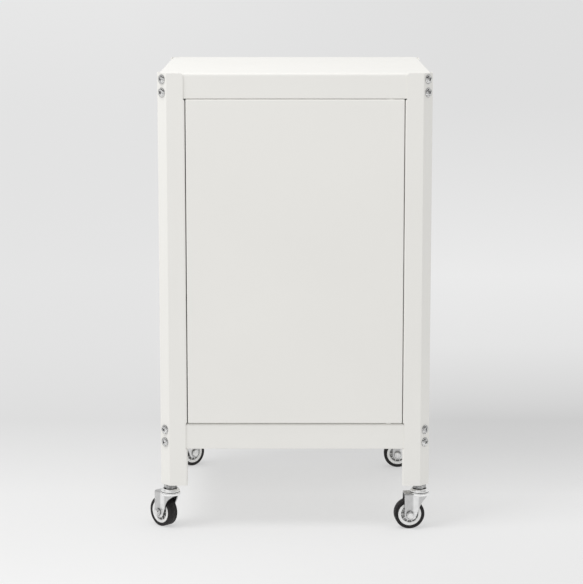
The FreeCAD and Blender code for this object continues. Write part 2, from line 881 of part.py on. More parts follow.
def corner_places(depth_in, levels):
    """Places on the corner chamfers, so far in from the posts' outer face, facing outwards."""
    spots = []
    for side_x in (-1, 1):
        for side_y in (-1, 1):
            along = Rotation(ALONG_Z, Vector(side_x, side_y, 0))
            reach = corner_setback / 2 + as_size(depth_in) / ROOT_TWO
            for level in levels:
                x = side_x * (half_width - reach)
                y = side_y * (half_depth - reach)
                spots.append(at(x, y, level, along))
    return spots


all_screw_levels = top_screw_levels + bottom_screw_levels
group("corner_screws", screw_master(), corner_places(0, all_screw_levels))
group(
    "corner_nuts",
    nut_master("nut_master", nut_across_flats, nut_height, screw_radius + thread_gap),
    corner_places(post_sheet + tray_sheet + nut_height, all_screw_levels),
)


# Foot plates welded into the posts' ends, with a round weld nut on each
def make_foot_plate(corner, side_x, side_y, turn):
    body = new_body("foot_plate_" + corner)
    sketch = sketch_on(body, "XY_Plane")
    inner_setback = corner_setback + (ROOT_TWO - 1) * post_sheet
    inner_width = post_width - post_sheet
    polygon(sketch, [
        (inner_setback, post_sheet),
        (inner_width, post_sheet),
        (inner_width, post_lip),
        (post_lip, inner_width),
        (post_sheet, inner_width),
        (post_sheet, inner_setback),
    ])
    blank = pad(body, sketch, foot_plate_sheet)
    edge_names = edges_where(blank, is_upright)
    round_edges(body, blank, edge_names, foot_plate_round)
    drill(body, stem_radius + thread_gap, 4 * foot_plate_sheet, stem_inset, stem_inset, 0)
    place(body, side_x * half_width, side_y * half_depth, leg_bottom, Rotation(ALONG_Z, turn))


for corner, (side_x, side_y, turn, riveted) in POSTS.items():
    make_foot_plate(corner, side_x, side_y, turn)


def stem_places(level):
    return [
        at(side_x * (half_width - stem_inset), side_y * (half_depth - stem_inset), level)
        for side_x, side_y, turn in CASTERS.values()
    ]


def weld_nut_master():
    body = new_body("weld_nut_master", is_part=False)
    sketch = sketch_on(body, "XY_Plane")
    circle(sketch, weld_nut_radius)
    circle(sketch, stem_radius + thread_gap)
    pad(body, sketch, weld_nut_height)
    return body


group("weld_nuts", weld_nut_master(), stem_places(leg_bottom + foot_plate_sheet))


# Door: a folded shell, a hat-section stiffener and two hinge pins
def make_door_shell():
    half_z = (door_top - door_bottom) / 2
    body = box_pan(
        "door_shell",
        door_half_width,
        half_z,
        door_thickness,
        door_sheet,
        door_inside_bend,
        door_hem,
    )
    for end in (-1, 1):
        drill(body, pin_radius + thread_gap, 6 * door_sheet, hinge_x - door_x, end * half_z,
              door_thickness - hinge_from_face, Rotation(ALONG_X, 90))
    place(body, door_x, door_back, door_middle, Rotation(ALONG_X, 90))


def make_stiffener():
    body = new_body("door_stiffener")
    sketch = sketch_on(body, "XY_Plane")
    crown = stiffener_crown / 2
    foot = crown + stiffener_flange
    deep = stiffener_depth
    gauge = stiffener_sheet
    polygon(sketch, [
        (-foot, 0), (-crown + gauge, 0), (-crown + gauge, deep - gauge),
        (crown - gauge, deep - gauge), (crown - gauge, 0), (foot, 0), (foot, gauge),
        (crown, gauge), (crown, deep), (-crown, deep), (-crown, gauge), (-foot, gauge),
    ])
    pad(body, sketch, door_top - door_bottom - 2 * door_sheet - 2 * stiffener_end_gap)
    place(body, door_x, -half_depth + door_sheet, door_bottom + door_sheet + stiffener_end_gap)


def make_hinge_pin(name, reach, x_turn, level):
    """The collar seats inside the door's edge and the pin passes out through it."""
    body = new_body(name)
    sketch = sketch_on(body, "XZ_Plane")
    polygon(sketch, [
        (0, -pin_tail),
        (pin_radius * 0.8, -pin_tail),
        (pin_radius, -pin_tail + pin_radius * 0.2),
        (pin_radius, -pin_collar_height),
        (pin_collar_radius, -pin_collar_height),
        (pin_collar_radius, 0),
        (pin_radius, 0),
        (pin_radius, reach - pin_radius * 0.2),
        (pin_radius * 0.8, reach),
        (0, reach),
    ])
    revolve(body, sketch)
    place(body, hinge_x, hinge_y, level, Rotation(ALONG_X, x_turn))


def make_bush(name, flange, level, x_turn):
    """A nylon bush: its flange is on the door's side of the sheet it sits in."""
    body = new_body(name)
    sketch = sketch_on(body, "XZ_Plane")
    polygon(sketch, [
        (bush_bore, -flange),
        (bush_flange_radius, -flange),
        (bush_flange_radius, 0),
        (bush_radius, 0),
        (bush_radius, tray_sheet + bush_spigot_beyond),
        (bush_bore, tray_sheet + bush_spigot_beyond),
    ])
    revolve(body, sketch)
    place(body, hinge_x, hinge_y, level, Rotation(ALONG_X, x_turn))


make_door_shell()
make_stiffener()
make_hinge_pin("upper_hinge_pin", door_sheet + door_top_gap + pin_reach, 0, door_top - door_sheet)
make_hinge_pin(
    "lower_hinge_pin", door_sheet + door_bottom_gap + pin_reach, 180, door_bottom + door_sheet
)
make_bush("upper_hinge_bush", door_top_gap - bush_flange_gap, lintel_level, 0)
make_bush("lower_hinge_bush", door_bottom_gap - bush_flange_gap, floor_level, 180)


# Push latch under the top tray's hem, its sprung plunger, and the strike on the door
TOWARDS_DOOR = Rotation(ALONG_X, 90)


def make_latch_body():
    body = new_body("latch_body")
    sketch = sketch_on(body, "XY_Plane")
    polygon(sketch, rectangle(latch_width / 2, latch_height / 2))
    block = pad(body, sketch, latch_length)
    names = edges_where(block, is_upright)
    below = [n for n in names if block.Shape.getElement(n).BoundBox.YMax < 0]
    round_edges(body, block, below, latch_edge)
    ears = sketch_on(body, "XY_Plane", latch_length - latch_ear_depth)
    polygon(ears, [
        (-latch_ear_span / 2, latch_height / 2 - latch_ear_sheet),
        (latch_ear_span / 2, latch_height / 2 - latch_ear_sheet),
        (latch_ear_span / 2, latch_height / 2),
        (-latch_ear_span / 2, latch_height / 2),
    ])
    pad(body, ears, latch_ear_depth)
    bore = sketch_on(body, "XY_Plane", latch_end_wall)
    circle(bore, plunger_radius + pin_running_gap)
    pocket(body, bore, latch_length, forward=True)
    for side in (-1, 1):
        drill(body, latch_screw_radius + rivet_hole_gap, 4 * latch_ear_sheet,
              side * latch_screw_spacing / 2, latch_height / 2,
              latch_length - latch_ear_depth / 2, Rotation(ALONG_X, 90))
    drill(body, latch_pin_radius, 2 * latch_width, 0, 0, latch_length - latch_pin_from_front,
          Rotation(ALONG_Y, 90))
    place(body, latch_x, latch_front + latch_length, latch_z, TOWARDS_DOOR)


def make_latch_pin():
    """The pin crosses the plunger's slot, whose ends set how far the plunger travels."""
    body = new_body("latch_pin")
    sketch = sketch_on(body, "YZ_Plane")
    circle(sketch, latch_pin_radius)
    pad(body, sketch, latch_width - 2 * latch_pin_end_gap, both_ways=True)
    place(body, latch_x, latch_pin_y, latch_z)


def latch_screw_master():
    body = new_body("latch_screw_master", is_part=False)
    sketch = sketch_on(body, "XZ_Plane")
    top = latch_ear_sheet + tray_sheet + latch_screw_reach
    polygon(sketch, [
        (0, -latch_screw_head_height),
        (latch_screw_head_radius * 0.7, -latch_screw_head_height),
        (latch_screw_head_radius, -latch_screw_head_height / 3),
        (latch_screw_head_radius, 0),
        (latch_screw_radius, 0),
        (latch_screw_radius, top - latch_screw_radius),
        (latch_screw_radius * 0.3, top),
        (0, top),
    ])
    revolve(body, sketch)
    return body


def make_plunger():
    body = new_body("latch_plunger")
    sketch = sketch_on(body, "XY_Plane")
    circle(sketch, plunger_radius)
    rod = pad(body, sketch, plunger_length)
    ends = edges_where(rod, lambda e: lies_at(e, plunger_length.value))
    round_edges(body, rod, ends, plunger_edge)
    seat = sketch_on(body, "XY_Plane", plunger_length)
    circle(seat, magnet_radius)
    pocket(body, seat, magnet_length)
    slot = sketch_on(body, "YZ_Plane")
    at_rest = plunger_back - latch_pin_y
    half = latch_pin_radius + pin_running_gap
    polygon(slot, [
        (-half, at_rest - half),
        (half, at_rest - half),
        (half, at_rest + half + latch_press_travel),
        (-half, at_rest + half + latch_press_travel),
    ])
    pocket(body, slot, 4 * plunger_radius, both_ways=True)
    place(body, latch_x, plunger_back, latch_z, TOWARDS_DOOR)
    magnet = new_body("latch_magnet")
    disc = sketch_on(magnet, "XY_Plane")
    circle(disc, magnet_radius)
    pad(magnet, disc, magnet_length)
    place(magnet, latch_x, strike_back + magnet_length, latch_z, TOWARDS_DOOR)


def make_spring():
    """A round-wire coil between the plunger and the end of its bore."""
    room = (latch_bore_end - plunger_back - 2 * spring_seat_gap - spring_wire).value
    turns = spring_turns.value
    coil = Part.makeHelix(room / turns, room, spring_radius.value)
    start = coil.Edges[0].valueAt(coil.Edges[0].FirstParameter)
    heading = coil.Edges[0].tangentAt(coil.Edges[0].FirstParameter)
    wire = Part.Wire([Part.makeCircle(spring_wire.value / 2, start, heading)])
    solid = Part.Wire(coil.Edges).makePipeShell([wire], True, True)
    spring = doc.addObject("Part::Feature", "latch_spring")
    spring.Label = "latch_spring"
    spring.Shape = solid
    y = plunger_back + spring_seat_gap + spring_wire / 2 + room
    spring.Placement = at(latch_x, y, latch_z, TOWARDS_DOOR)
    parts.append(spring)


def make_strike():
    body = new_body("strike_plate")
    sketch = sketch_on(body, "XY_Plane")
    polygon(sketch, rectangle(strike_width / 2, strike_height / 2))
    plate = pad(body, sketch, strike_sheet)
    round_edges(body, plate, edges_where(plate, is_upright), strike_corner)
    place(body, latch_x, strike_back, latch_z, TOWARDS_DOOR)


make_latch_body()
group(
    "latch_screws",
    latch_screw_master(),
    [
        at(latch_x + side * latch_screw_spacing / 2, latch_screw_y, lintel_level - latch_ear_sheet)
        for side in (-1, 1)
    ],
)
make_latch_pin()
make_plunger()
make_spring()
make_strike()


# Door stop: an angle welded to the cabinet floor with a rubber bumper on it
def make_stop():
    bumper_face = door_back + latch_press_travel + bumper_gap
    plate_face = bumper_face + bumper_length
    body = new_body("door_stop")
    sketch = sketch_on(body, "YZ_Plane")
    polygon(sketch, [
        (0, 0), (stop_foot, 0), (stop_foot, stop_sheet), (stop_sheet, stop_sheet),
        (stop_sheet, stop_height), (0, stop_height),
    ])
    pad(body, sketch, stop_width, both_ways=True)
    stop_x = door_x - door_half_width + stop_from_side
    place(body, stop_x, plate_face, floor_level)
    bumper = new_body("stop_bumper")
    disc = sketch_on(bumper, "XY_Plane")
    circle(disc, bumper_radius)
    puck = pad(bumper, disc, bumper_length)
    face = edges_where(puck, lambda e: lies_at(e, bumper_length.value))
    round_edges(bumper, puck, face, bumper_edge)
    place(bumper, stop_x, plate_face, floor_level + stop_height / 2 + stop_sheet / 2, TOWARDS_DOOR)


make_stop()


# Shelf and the four clips it rests on
def make_shelf():
    half_y = (shelf_rear - shelf_front) / 2
    body = box_pan(
        "shelf",
        shelf_half_width,
        half_y,
        shelf_depth_of_edge,
        shelf_sheet,
        shelf_inside_bend,
        shelf_hem,
    )
    place(body, 0, (shelf_rear + shelf_front) / 2, shelf_underside)


def clip_master():
    """Drawn with the panel's hem at X = 0 and the shelf's underside at Z = 0, foot towards -X."""
    body = new_body("clip_master", is_part=False)
    sketch = sketch_on(body, "XZ_Plane")
    polygon(sketch, [
        (0, 0), (-clip_foot, 0), (-clip_foot, -clip_sheet), (-clip_sheet, -clip_sheet),
        (-clip_sheet, -clip_leg), (0, -clip_leg),
    ])
    pad(body, sketch, clip_width, both_ways=True)
    tab = sketch_on(body, "XZ_Plane")
    middle = -clip_leg / 2
    high = middle + clip_tab_height / 2
    low = middle - clip_tab_height / 2
    polygon(tab, [(0, high), (0, low), (clip_tab_reach, low), (clip_tab_reach, high)])
    pad(body, tab, clip_tab_width, both_ways=True)
    return body


make_shelf()
group(
    "shelf_clips",
    clip_master(),
    [
        at(panel_inner_x, -clip_row_y, shelf_underside),
        at(panel_inner_x, clip_row_y, shelf_underside),
        at(-panel_inner_x, -clip_row_y, shelf_underside, Rotation(ALONG_Z, 180)),
        at(-panel_inner_x, clip_row_y, shelf_underside, Rotation(ALONG_Z, 180)),
    ],
)


# Casters: each is drawn with its swivel axis at the origin and its wheel towards +X
def stem_place(side_x, side_y):
    return side_x * (half_width - stem_inset), side_y * (half_depth - stem_inset)


def make_caster_stem(corner, side_x, side_y, turn):
    """The threaded stem, the upper race it carries and the riveted king pin below."""
    body = new_body("caster_stem_" + corner)
    sketch = sketch_on(body, "XZ_Plane")
    cap_top = race_bottom - swivel_gap
    polygon(sketch, [
        (0, cap_top - rivet_cap_height),
        (rivet_cap_radius * 0.6, cap_top - rivet_cap_height),
        (rivet_cap_radius, cap_top - rivet_cap_height / 2),
        (rivet_cap_radius, cap_top),
        (stem_radius, cap_top),
        (stem_radius, cup_bottom),
        (cup_radius, cup_bottom),
        (cup_radius, cup_bottom + cup_rim),
        (cup_crown_radius, cup_top),
        (stem_radius, cup_top),
        (stem_radius, stem_top - stem_radius * 0.25),
        (stem_radius * 0.75, stem_top),
        (0, stem_top),
    ])
    revolve(body, sketch)
    track = sketch_on(body, "XZ_Plane")
    circle(track, ball_radius + ball_gap, ball_circle_radius, ball_level)
    revolve(body, track, cut=True)
    x, y = stem_place(side_x, side_y)
    place(body, x, y, 0, Rotation(ALONG_Z, turn))


def slipper(sketch, half_width_back, nose_radius, back):
    """A plan outline: straight sides from the back, drawn in past a crease to a round nose."""
    centre = fork_nose_radius - fork_nose
    points = [
        (centre, -nose_radius),
        (fork_crease, -half_width_back),
        (back, -half_width_back),
        (back, half_width_back),
        (fork_crease, half_width_back),
        (centre, nose_radius),
    ]
    spots = [Vector(as_size(x).value, as_size(y).value, 0) for x, y in points]
    for start, end in zip(spots, spots[1:]):
        sketch.addGeometry(Part.LineSegment(start, end), False)
    round_nose = Part.Circle(Vector(centre.value, 0, 0), ALONG_Z, nose_radius.value)
    arc = sketch.addGeometry(
        Part.ArcOfCircle(round_nose, math.pi / 2, 3 * math.pi / 2), False
    )
    for i in range(4):
        sketch.addConstraint(Sketcher.Constraint("Coincident", i, 2, i + 1, 1))
    sketch.addConstraint(Sketcher.Constraint("Coincident", 4, 2, arc, 1))
    sketch.addConstraint(Sketcher.Constraint("Coincident", arc, 2, 0, 1))
    for i in range(5):
        pin_point(sketch, i, 1, *points[i])
    pin_point(sketch, 4, 2, *points[5])
    at_centre = sketch.addConstraint(Sketcher.Constraint("DistanceX", -1, 1, arc, 3, centre.value))
    bind(sketch, f"Constraints[{at_centre}]", centre)


def make_fork(corner, side_x, side_y, turn):
    """A pressed fork: crown, open nose and two legs, with the lower race on top."""
    body = new_body("caster_fork_" + corner)
    foot = wheel_radius - fork_tail
    back = caster_trail + fork_tail
    plan = sketch_on(body, "XY_Plane", foot)
    slipper(plan, leg_outside, fork_nose_radius, back)
    pad(body, plan, crown_top - foot)
    shoulder = crown_underside - fork_shoulder_drop
    knee = crown_underside - fork_knee_drop
    away = 2 * fork_nose
    front = sketch_on(body, "XZ_Plane")
    polygon(front, [
        (-away, 0),
        (caster_trail - fork_tail, 0),
        (caster_trail - fork_tail, foot),
        (-fork_nose + fork_knee_back, knee),
        (-fork_nose + fork_shoulder_back, shoulder),
        (-fork_nose, crown_underside - fork_skirt),
        (-away, crown_underside - fork_skirt),
    ])
    cut = pocket(body, front, 4 * leg_outside, both_ways=True)

    def across(levels):
        def wanted(edge):
            box = edge.BoundBox
            level = any(abs(box.ZMax - z.value) < 1e-6 for z in levels)
            return level and box.YLength > 1 and box.ZLength < 1e-6 and box.XLength < 1e-6

        return wanted

    swept = round_edges(body, cut, edges_where(cut, across([shoulder, knee])), fork_sweep)
    round_edges(body, swept, edges_where(swept, across([foot])), fork_leg_round)
    inside = sketch_on(body, "XY_Plane", crown_underside)
    slipper(inside, leg_inside, fork_nose_radius - fork_sheet, 2 * back)
    pocket(body, inside, crown_underside)
    race = sketch_on(body, "XY_Plane", race_bottom)
    circle(race, race_radius)
    pad(body, race, race_height)
    drill(body, stem_radius + pin_running_gap, 4 * race_height, 0, 0, race_bottom)
    track = sketch_on(body, "XZ_Plane")
    circle(track, ball_radius + ball_gap, ball_circle_radius, ball_level)
    revolve(body, track, cut=True)
    drill(body, axle_radius + thread_gap, 4 * leg_outside, caster_trail, 0, wheel_radius,
          Rotation(ALONG_X, 90))
    x, y = stem_place(side_x, side_y)
    place(body, x, y, 0, Rotation(ALONG_Z, turn))


def wheel_place(body, side_x, side_y, turn, sideways=0):
    """Put a piece drawn along Z on the wheel's axle, so far out along it."""
    x, y = stem_place(side_x, side_y)
    cosine = math.cos(math.radians(turn))
    sine = math.sin(math.radians(turn))
    stand = Rotation(ALONG_Z, turn) * Rotation(ALONG_X, -90)
    out = as_size(sideways)
    place(
        body,
        x + caster_trail * cosine - out * sine,
        y + caster_trail * sine + out * cosine,
        wheel_radius,
        stand,
    )


def make_tyre(corner, side_x, side_y, turn):
    body = new_body("tyre_" + corner)
    sketch = sketch_on(body, "XZ_Plane")
    half = wheel_width / 2
    seat = tyre_seat_width / 2
    flank = core_radius + (wheel_radius - core_radius) * 0.35
    polygon(sketch, [
        (core_radius, -seat),
        (flank, -half),
        (wheel_radius - tyre_shoulder, -half),
        (wheel_radius, -half + tyre_shoulder),
        (wheel_radius, half - tyre_shoulder),
        (wheel_radius - tyre_shoulder, half),
        (flank, half),
        (core_radius, seat),
    ])
    revolve(body, sketch)
    wheel_place(body, side_x, side_y, turn)


def make_core(corner, side_x, side_y, turn):
    """The wheel's hub, web, ribs and rim."""
    body = new_body("wheel_core_" + corner)
    sketch = sketch_on(body, "XZ_Plane")
    seat = tyre_seat_width / 2
    web = core_web / 2
    rim = core_radius - rim_thickness
    bore = axle_radius + axle_running_gap
    polygon(sketch, [
        (bore, -hub_half_length), (hub_radius, -hub_half_length), (hub_radius, -web),
        (rim, -web), (rim, -seat), (core_radius, -seat), (core_radius, seat), (rim, seat),
        (rim, web), (hub_radius, web), (hub_radius, hub_half_length), (bore, hub_half_length),
    ])
    revolve(body, sketch)
    rib = sketch_on(body, "XY_Plane")
    thin = rib_sheet / 2
    near = hub_radius * 0.9
    far = rim + rim_thickness * 0.4
    polygon(rib, [(near, -thin), (far, -thin), (far, thin), (near, thin)])
    ribs = pad(body, rib, tyre_seat_width - 2 * rib_drop, both_ways=True)
    spokes = body.newObject("PartDesign::PolarPattern", "PolarPattern")
    spokes.Originals = [ribs]
    spokes.Axis = (rib, ["N_Axis"])
    spokes.Angle = 360
    bind(spokes, "Occurrences", rib_count)
    body.Tip = spokes
    wheel_place(body, side_x, side_y, turn)


def make_axle(corner, side_x, side_y, turn):
    """A hex-headed bolt; its cap nut is on the +Y side of the caster."""
    body = new_body("axle_bolt_" + corner)
    head = sketch_on(body, "XY_Plane", -leg_outside - axle_head_height)
    hexagon(head, axle_across_flats)
    pad(body, head, axle_head_height)
    shank = sketch_on(body, "XY_Plane", -leg_outside)
    circle(shank, axle_radius)
    pad(body, shank, 2 * leg_outside + axle_nut_height)
    wheel_place(body, side_x, side_y, turn)
    nut = new_body("axle_nut_" + corner)
    outline = sketch_on(nut, "XY_Plane")
    hexagon(outline, axle_across_flats)
    pad(nut, outline, axle_nut_height)
    dome = sketch_on(nut, "XZ_Plane")
    wide = axle_across_flats / 2
    high = axle_nut_height + axle_nut_dome
    polygon(dome, [
        (0, axle_nut_height / 2), (wide * 0.94, axle_nut_height / 2), (wide * 0.94, axle_nut_height),
        (wide * 0.86, axle_nut_height + axle_nut_dome * 0.5),
        (wide * 0.62, axle_nut_height + axle_nut_dome * 0.82),
        (wide * 0.3, high), (0, high),
    ])
    revolve(nut, dome)
    hole = sketch_on(nut, "XY_Plane")
    circle(hole, axle_radius + thread_gap)
    pocket(nut, hole, axle_nut_height + thread_gap, forward=True)
    wheel_place(nut, side_x, side_y, turn, leg_outside)


for corner, (side_x, side_y, turn) in CASTERS.items():
    make_caster_stem(corner, side_x, side_y, turn)
    make_fork(corner, side_x, side_y, turn)
    make_tyre(corner, side_x, side_y, turn)
    make_core(corner, side_x, side_y, turn)
    make_axle(corner, side_x, side_y, turn)

group(
    "stem_nuts",
    nut_master("stem_nut_master", stem_nut_across_flats, stem_nut_height, stem_radius + thread_gap),
    stem_places(cup_top),
)


def ball_places():
    spots = []
    count = int(ball_count.value)
    for side_x, side_y, turn in CASTERS.values():
        x, y = stem_place(side_x, side_y)
        for i in range(count):
            angle = 2 * math.pi * i / count
            reach = ball_circle_radius
            spots.append(at(
                x + reach * math.cos(angle), y + reach * math.sin(angle), ball_level
            ))
    return spots


ball = doc.addObject("Part::Sphere", "ball_master")
bind(ball, "Radius", ball_radius)
group("swivel_balls", ball, ball_places())


# Check every object, then write one file for each sub-part
doc.recompute()
for thing in doc.Objects:
    if "Invalid" in thing.State or "Error" in thing.State:
        raise RuntimeError(f"{thing.Label} failed: {thing.State}")
for part in parts:
    if part.Shape.isNull() or not part.Shape.isValid() or not part.Shape.Solids:
        raise RuntimeError(f"{part.Label} has no valid shape")
os.makedirs("parts", exist_ok=True)
for part in parts:
    part.Shape.exportStep(f"parts/{part.Label}.step")
print(len(parts), "sub-parts written")
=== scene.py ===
# Looks of the rolling locker cabinet: finishes for every piece, and finer fasteners and casters.
# Shapes are drawn in millimetres and turned into metres when they become a mesh.
import json
import math
import random

import bmesh
import bpy
from mathutils import Matrix, Vector


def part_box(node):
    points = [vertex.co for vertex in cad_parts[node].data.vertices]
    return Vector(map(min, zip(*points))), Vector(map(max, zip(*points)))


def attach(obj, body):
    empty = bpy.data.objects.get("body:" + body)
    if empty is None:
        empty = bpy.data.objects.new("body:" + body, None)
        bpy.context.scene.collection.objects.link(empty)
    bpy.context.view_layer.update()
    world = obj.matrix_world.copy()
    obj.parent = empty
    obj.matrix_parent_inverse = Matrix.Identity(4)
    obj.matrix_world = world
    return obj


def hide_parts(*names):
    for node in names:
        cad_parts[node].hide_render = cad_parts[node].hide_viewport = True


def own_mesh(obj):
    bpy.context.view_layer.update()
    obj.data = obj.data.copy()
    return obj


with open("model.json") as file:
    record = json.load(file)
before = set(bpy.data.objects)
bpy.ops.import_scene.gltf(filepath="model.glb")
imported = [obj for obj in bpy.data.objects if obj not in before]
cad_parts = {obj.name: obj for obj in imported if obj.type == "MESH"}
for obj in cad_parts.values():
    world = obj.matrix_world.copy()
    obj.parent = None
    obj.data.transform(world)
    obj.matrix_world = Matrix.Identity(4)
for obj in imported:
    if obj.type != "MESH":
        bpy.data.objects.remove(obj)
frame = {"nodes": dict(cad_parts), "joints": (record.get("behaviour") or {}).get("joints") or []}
bpy.context.view_layer.update()

MM = 0.001
CORNERS = ("front_left", "front_right", "rear_right", "rear_left")
ROOT_TWO = math.sqrt(2)
dice = random.Random(7)


def show(thing):
    """Put an object into the scene."""
    bpy.context.scene.collection.objects.link(thing)
    return thing


# Camera and stage, in metres and degrees
IMAGE_WIDTH = 583
FOCAL_PIXELS = 2168.93
SENSOR_WIDTH = 36.0
CLIP_END = 200
CAMERA_DISTANCE = 3.3392
CAMERA_HEIGHT = 0.8895
CAMERA_PITCH = 9.5748
CAMERA_YAW = 0.0924
FLOOR_REACH = 60.0


def make_camera():
    data = bpy.data.cameras.new("camera")
    data.sensor_fit = "HORIZONTAL"
    data.sensor_width = SENSOR_WIDTH
    data.lens = FOCAL_PIXELS * SENSOR_WIDTH / IMAGE_WIDTH
    data.clip_end = CLIP_END
    camera = bpy.data.objects.new("camera", data)
    camera.location = (0, -CAMERA_DISTANCE, CAMERA_HEIGHT)
    camera.rotation_euler = (math.radians(90 - CAMERA_PITCH), 0, math.radians(CAMERA_YAW))
    show(camera)
    bpy.context.scene.camera = camera


# Node helpers
def add(tree, kind, **settings):
    node = tree.nodes.new(kind)
    for key, value in settings.items():
        setattr(node, key, value)
    return node


def here(tree):
    """The piece's own coordinates, in metres."""
    return add(tree, "ShaderNodeTexCoord").outputs["Object"]


def noise(tree, scale, detail, stretch=(1, 1, 1)):
    mapping = add(tree, "ShaderNodeMapping")
    mapping.inputs["Scale"].default_value = stretch
    tree.links.new(here(tree), mapping.inputs["Vector"])
    texture = add(tree, "ShaderNodeTexNoise")
    texture.inputs["Scale"].default_value = scale
    texture.inputs["Detail"].default_value = detail
    tree.links.new(mapping.outputs["Vector"], texture.inputs["Vector"])
    return texture.outputs["Fac"]


def ramp(tree, source, stops):
    node = add(tree, "ShaderNodeValToRGB")
    elements = node.color_ramp.elements
    while len(elements) < len(stops):
        elements.new(0.5)
    for element, (spot, colour) in zip(elements, stops):
        element.position = spot
        element.color = (*colour, 1)
    tree.links.new(source, node.inputs["Fac"])
    return node.outputs["Color"]


def spread(tree, source, low, high, start=0.3, stop=0.7):
    """Map a noise onto the range from low to high."""
    node = add(tree, "ShaderNodeMapRange")
    node.inputs["From Min"].default_value = start
    node.inputs["From Max"].default_value = stop
    node.inputs["To Min"].default_value = low
    node.inputs["To Max"].default_value = high
    tree.links.new(source, node.inputs["Value"])
    return node.outputs["Result"]


def bump(tree, shader, height, distance, strength, below=None):
    node = add(tree, "ShaderNodeBump")
    node.inputs["Strength"].default_value = strength
    node.inputs["Distance"].default_value = distance
    tree.links.new(height, node.inputs["Height"])
    if below is not None:
        tree.links.new(below, node.inputs["Normal"])
    tree.links.new(node.outputs["Normal"], shader.inputs["Normal"])
    return node.outputs["Normal"]


def principled(name, metallic, specular=0.5):
    material = bpy.data.materials.new(name)
    material.use_nodes = True
    shader = material.node_tree.nodes["Principled BSDF"]
    shader.inputs["Metallic"].default_value = metallic
    shader.inputs["Specular IOR Level"].default_value = specular
    return material, material.node_tree, shader


def tinted(colour, factor):
    return tuple(channel * factor for channel in colour)


def grey(tone):
    return (tone,) * 3


def feed(tree, socket, value):
    """Link a socket to an input, or set the input to a plain value."""
    if isinstance(value, bpy.types.NodeSocket):
        tree.links.new(value, socket)
    else:
        socket.default_value = value


def mixed(tree, first, second, factor=1, blend="MIX"):
    """Two colours mixed or blended. The factor is a number or a socket."""
    node = add(tree, "ShaderNodeMix", data_type="RGBA", blend_type=blend)
    colours = [socket for socket in node.inputs if socket.type == "RGBA"]
    feed(tree, node.inputs["Factor"], factor)
    feed(tree, colours[0], first)
    feed(tree, colours[1], second)
    return next(socket for socket in node.outputs if socket.type == "RGBA")


def multiplied(tree, first, second):
    return mixed(tree, first, second, blend="MULTIPLY")


def scaled(tree, colour, factor):
    """A colour times a factor, which is a number or a socket."""
    node = add(tree, "ShaderNodeVectorMath", operation="SCALE")
    feed(tree, node.inputs[0], colour)
    feed(tree, node.inputs["Scale"], factor)
    return node.outputs[0]


def maths(tree, operation, first, second):
    """Two numbers or sockets combined."""
    node = add(tree, "ShaderNodeMath", operation=operation)
    feed(tree, node.inputs[0], first)
    feed(tree, node.inputs[1], second)
    return node.outputs["Value"]


def axes(tree, vector):
    """The X, Y and Z of a vector."""
    split = add(tree, "ShaderNodeSeparateXYZ")
    tree.links.new(vector, split.inputs["Vector"])
    return split.outputs


def is_ray(tree, kind):
    return add(tree, "ShaderNodeLightPath").outputs["Is " + kind + " Ray"]


# Finishes
def powder_coat():
    """Warm white powder coat: satin, with a faint orange-peel texture."""
    material, tree, shader = principled("powder_coat", 0, 0.35)
    coat = (0.862, 0.852, 0.818)
    stops = [(0.3, tinted(coat, 0.992)), (0.7, tinted(coat, 1.006))]
    tree.links.new(ramp(tree, noise(tree, 6, 2), stops), shader.inputs["Base Color"])
    tree.links.new(spread(tree, noise(tree, 90, 3), 0.42, 0.5), shader.inputs["Roughness"])
    peel = bump(tree, shader, noise(tree, 520, 2), 0.00002, 0.6)
    bump(tree, shader, noise(tree, 2600, 1), 0.000006, 0.6, peel)
    return material


def painted_crevice_shade(tree, reach, darkest=0.03, start=0.3, stop=0.85):
    """Painted shade: colour darkened by ambient occlusion where faces stand close within a reach.
    """
    node = add(tree, "ShaderNodeAmbientOcclusion", samples=8)
    node.inputs["Distance"].default_value = reach
    return ramp(tree, node.outputs["AO"], [(start, grey(darkest)), (stop, grey(1))])


def metal(
    name, dark, bright, rough, mottle, grain=(1, 1, 1), wear=0.00001, shade=0.003, dents=0
):
    """A plated metal whose tone and gloss vary a little, with painted shade in its crevices."""
    material, tree, shader = principled(name, 1)
    stops = [(0.32, grey(dark)), (0.68, (bright, bright, bright * 0.99))]
    tone = ramp(tree, noise(tree, mottle, 4), stops)
    tree.links.new(multiplied(tree, tone, painted_crevice_shade(tree, shade)), shader.inputs["Base Color"])
    gloss = spread(tree, noise(tree, mottle * 1.7, 3), *rough)
    tree.links.new(gloss, shader.inputs["Roughness"])
    fine = bump(tree, shader, noise(tree, 1500, 3, grain), wear, 0.5)
    if dents:
        bump(tree, shader, noise(tree, 620, 2), dents, 0.8, fine)
    return material


def fork_metal():
    """Dull zinc on the forks, with a painted highlight in a band where the sheet is drawn in at the
    crease.
    """
    material, tree, shader = principled("fork_zinc", 1)
    nose, heel = -12 * MM, 24 * MM
    along = spread(tree, axes(tree, here(tree))["X"], 0, 1, nose, heel)
    # Painted highlight: the lighter band of greys across the crease, between the flat legs and the
    # nose.
    tone = ramp(tree, along, [
        (0.0, grey(0.61)), (0.36, grey(0.59)), (0.43, grey(0.84)), (0.60, grey(0.84)),
        (0.67, grey(0.58)), (1.0, grey(0.60)),
    ])
    mottle = ramp(tree, noise(tree, 160, 4), [(0.32, grey(0.90)), (0.68, grey(1))])
    highlight_band_and_mottle = multiplied(tree, tone, mottle)
    tree.links.new(multiplied(tree, highlight_band_and_mottle, painted_crevice_shade(tree, 0.003)), shader.inputs["Base Color"])
    tree.links.new(spread(tree, noise(tree, 240, 3), 0.26, 0.36), shader.inputs["Roughness"])
    bump(tree, shader, noise(tree, 1500, 3, (1, 1, 0.2)), 0.00002, 0.5)
    return material


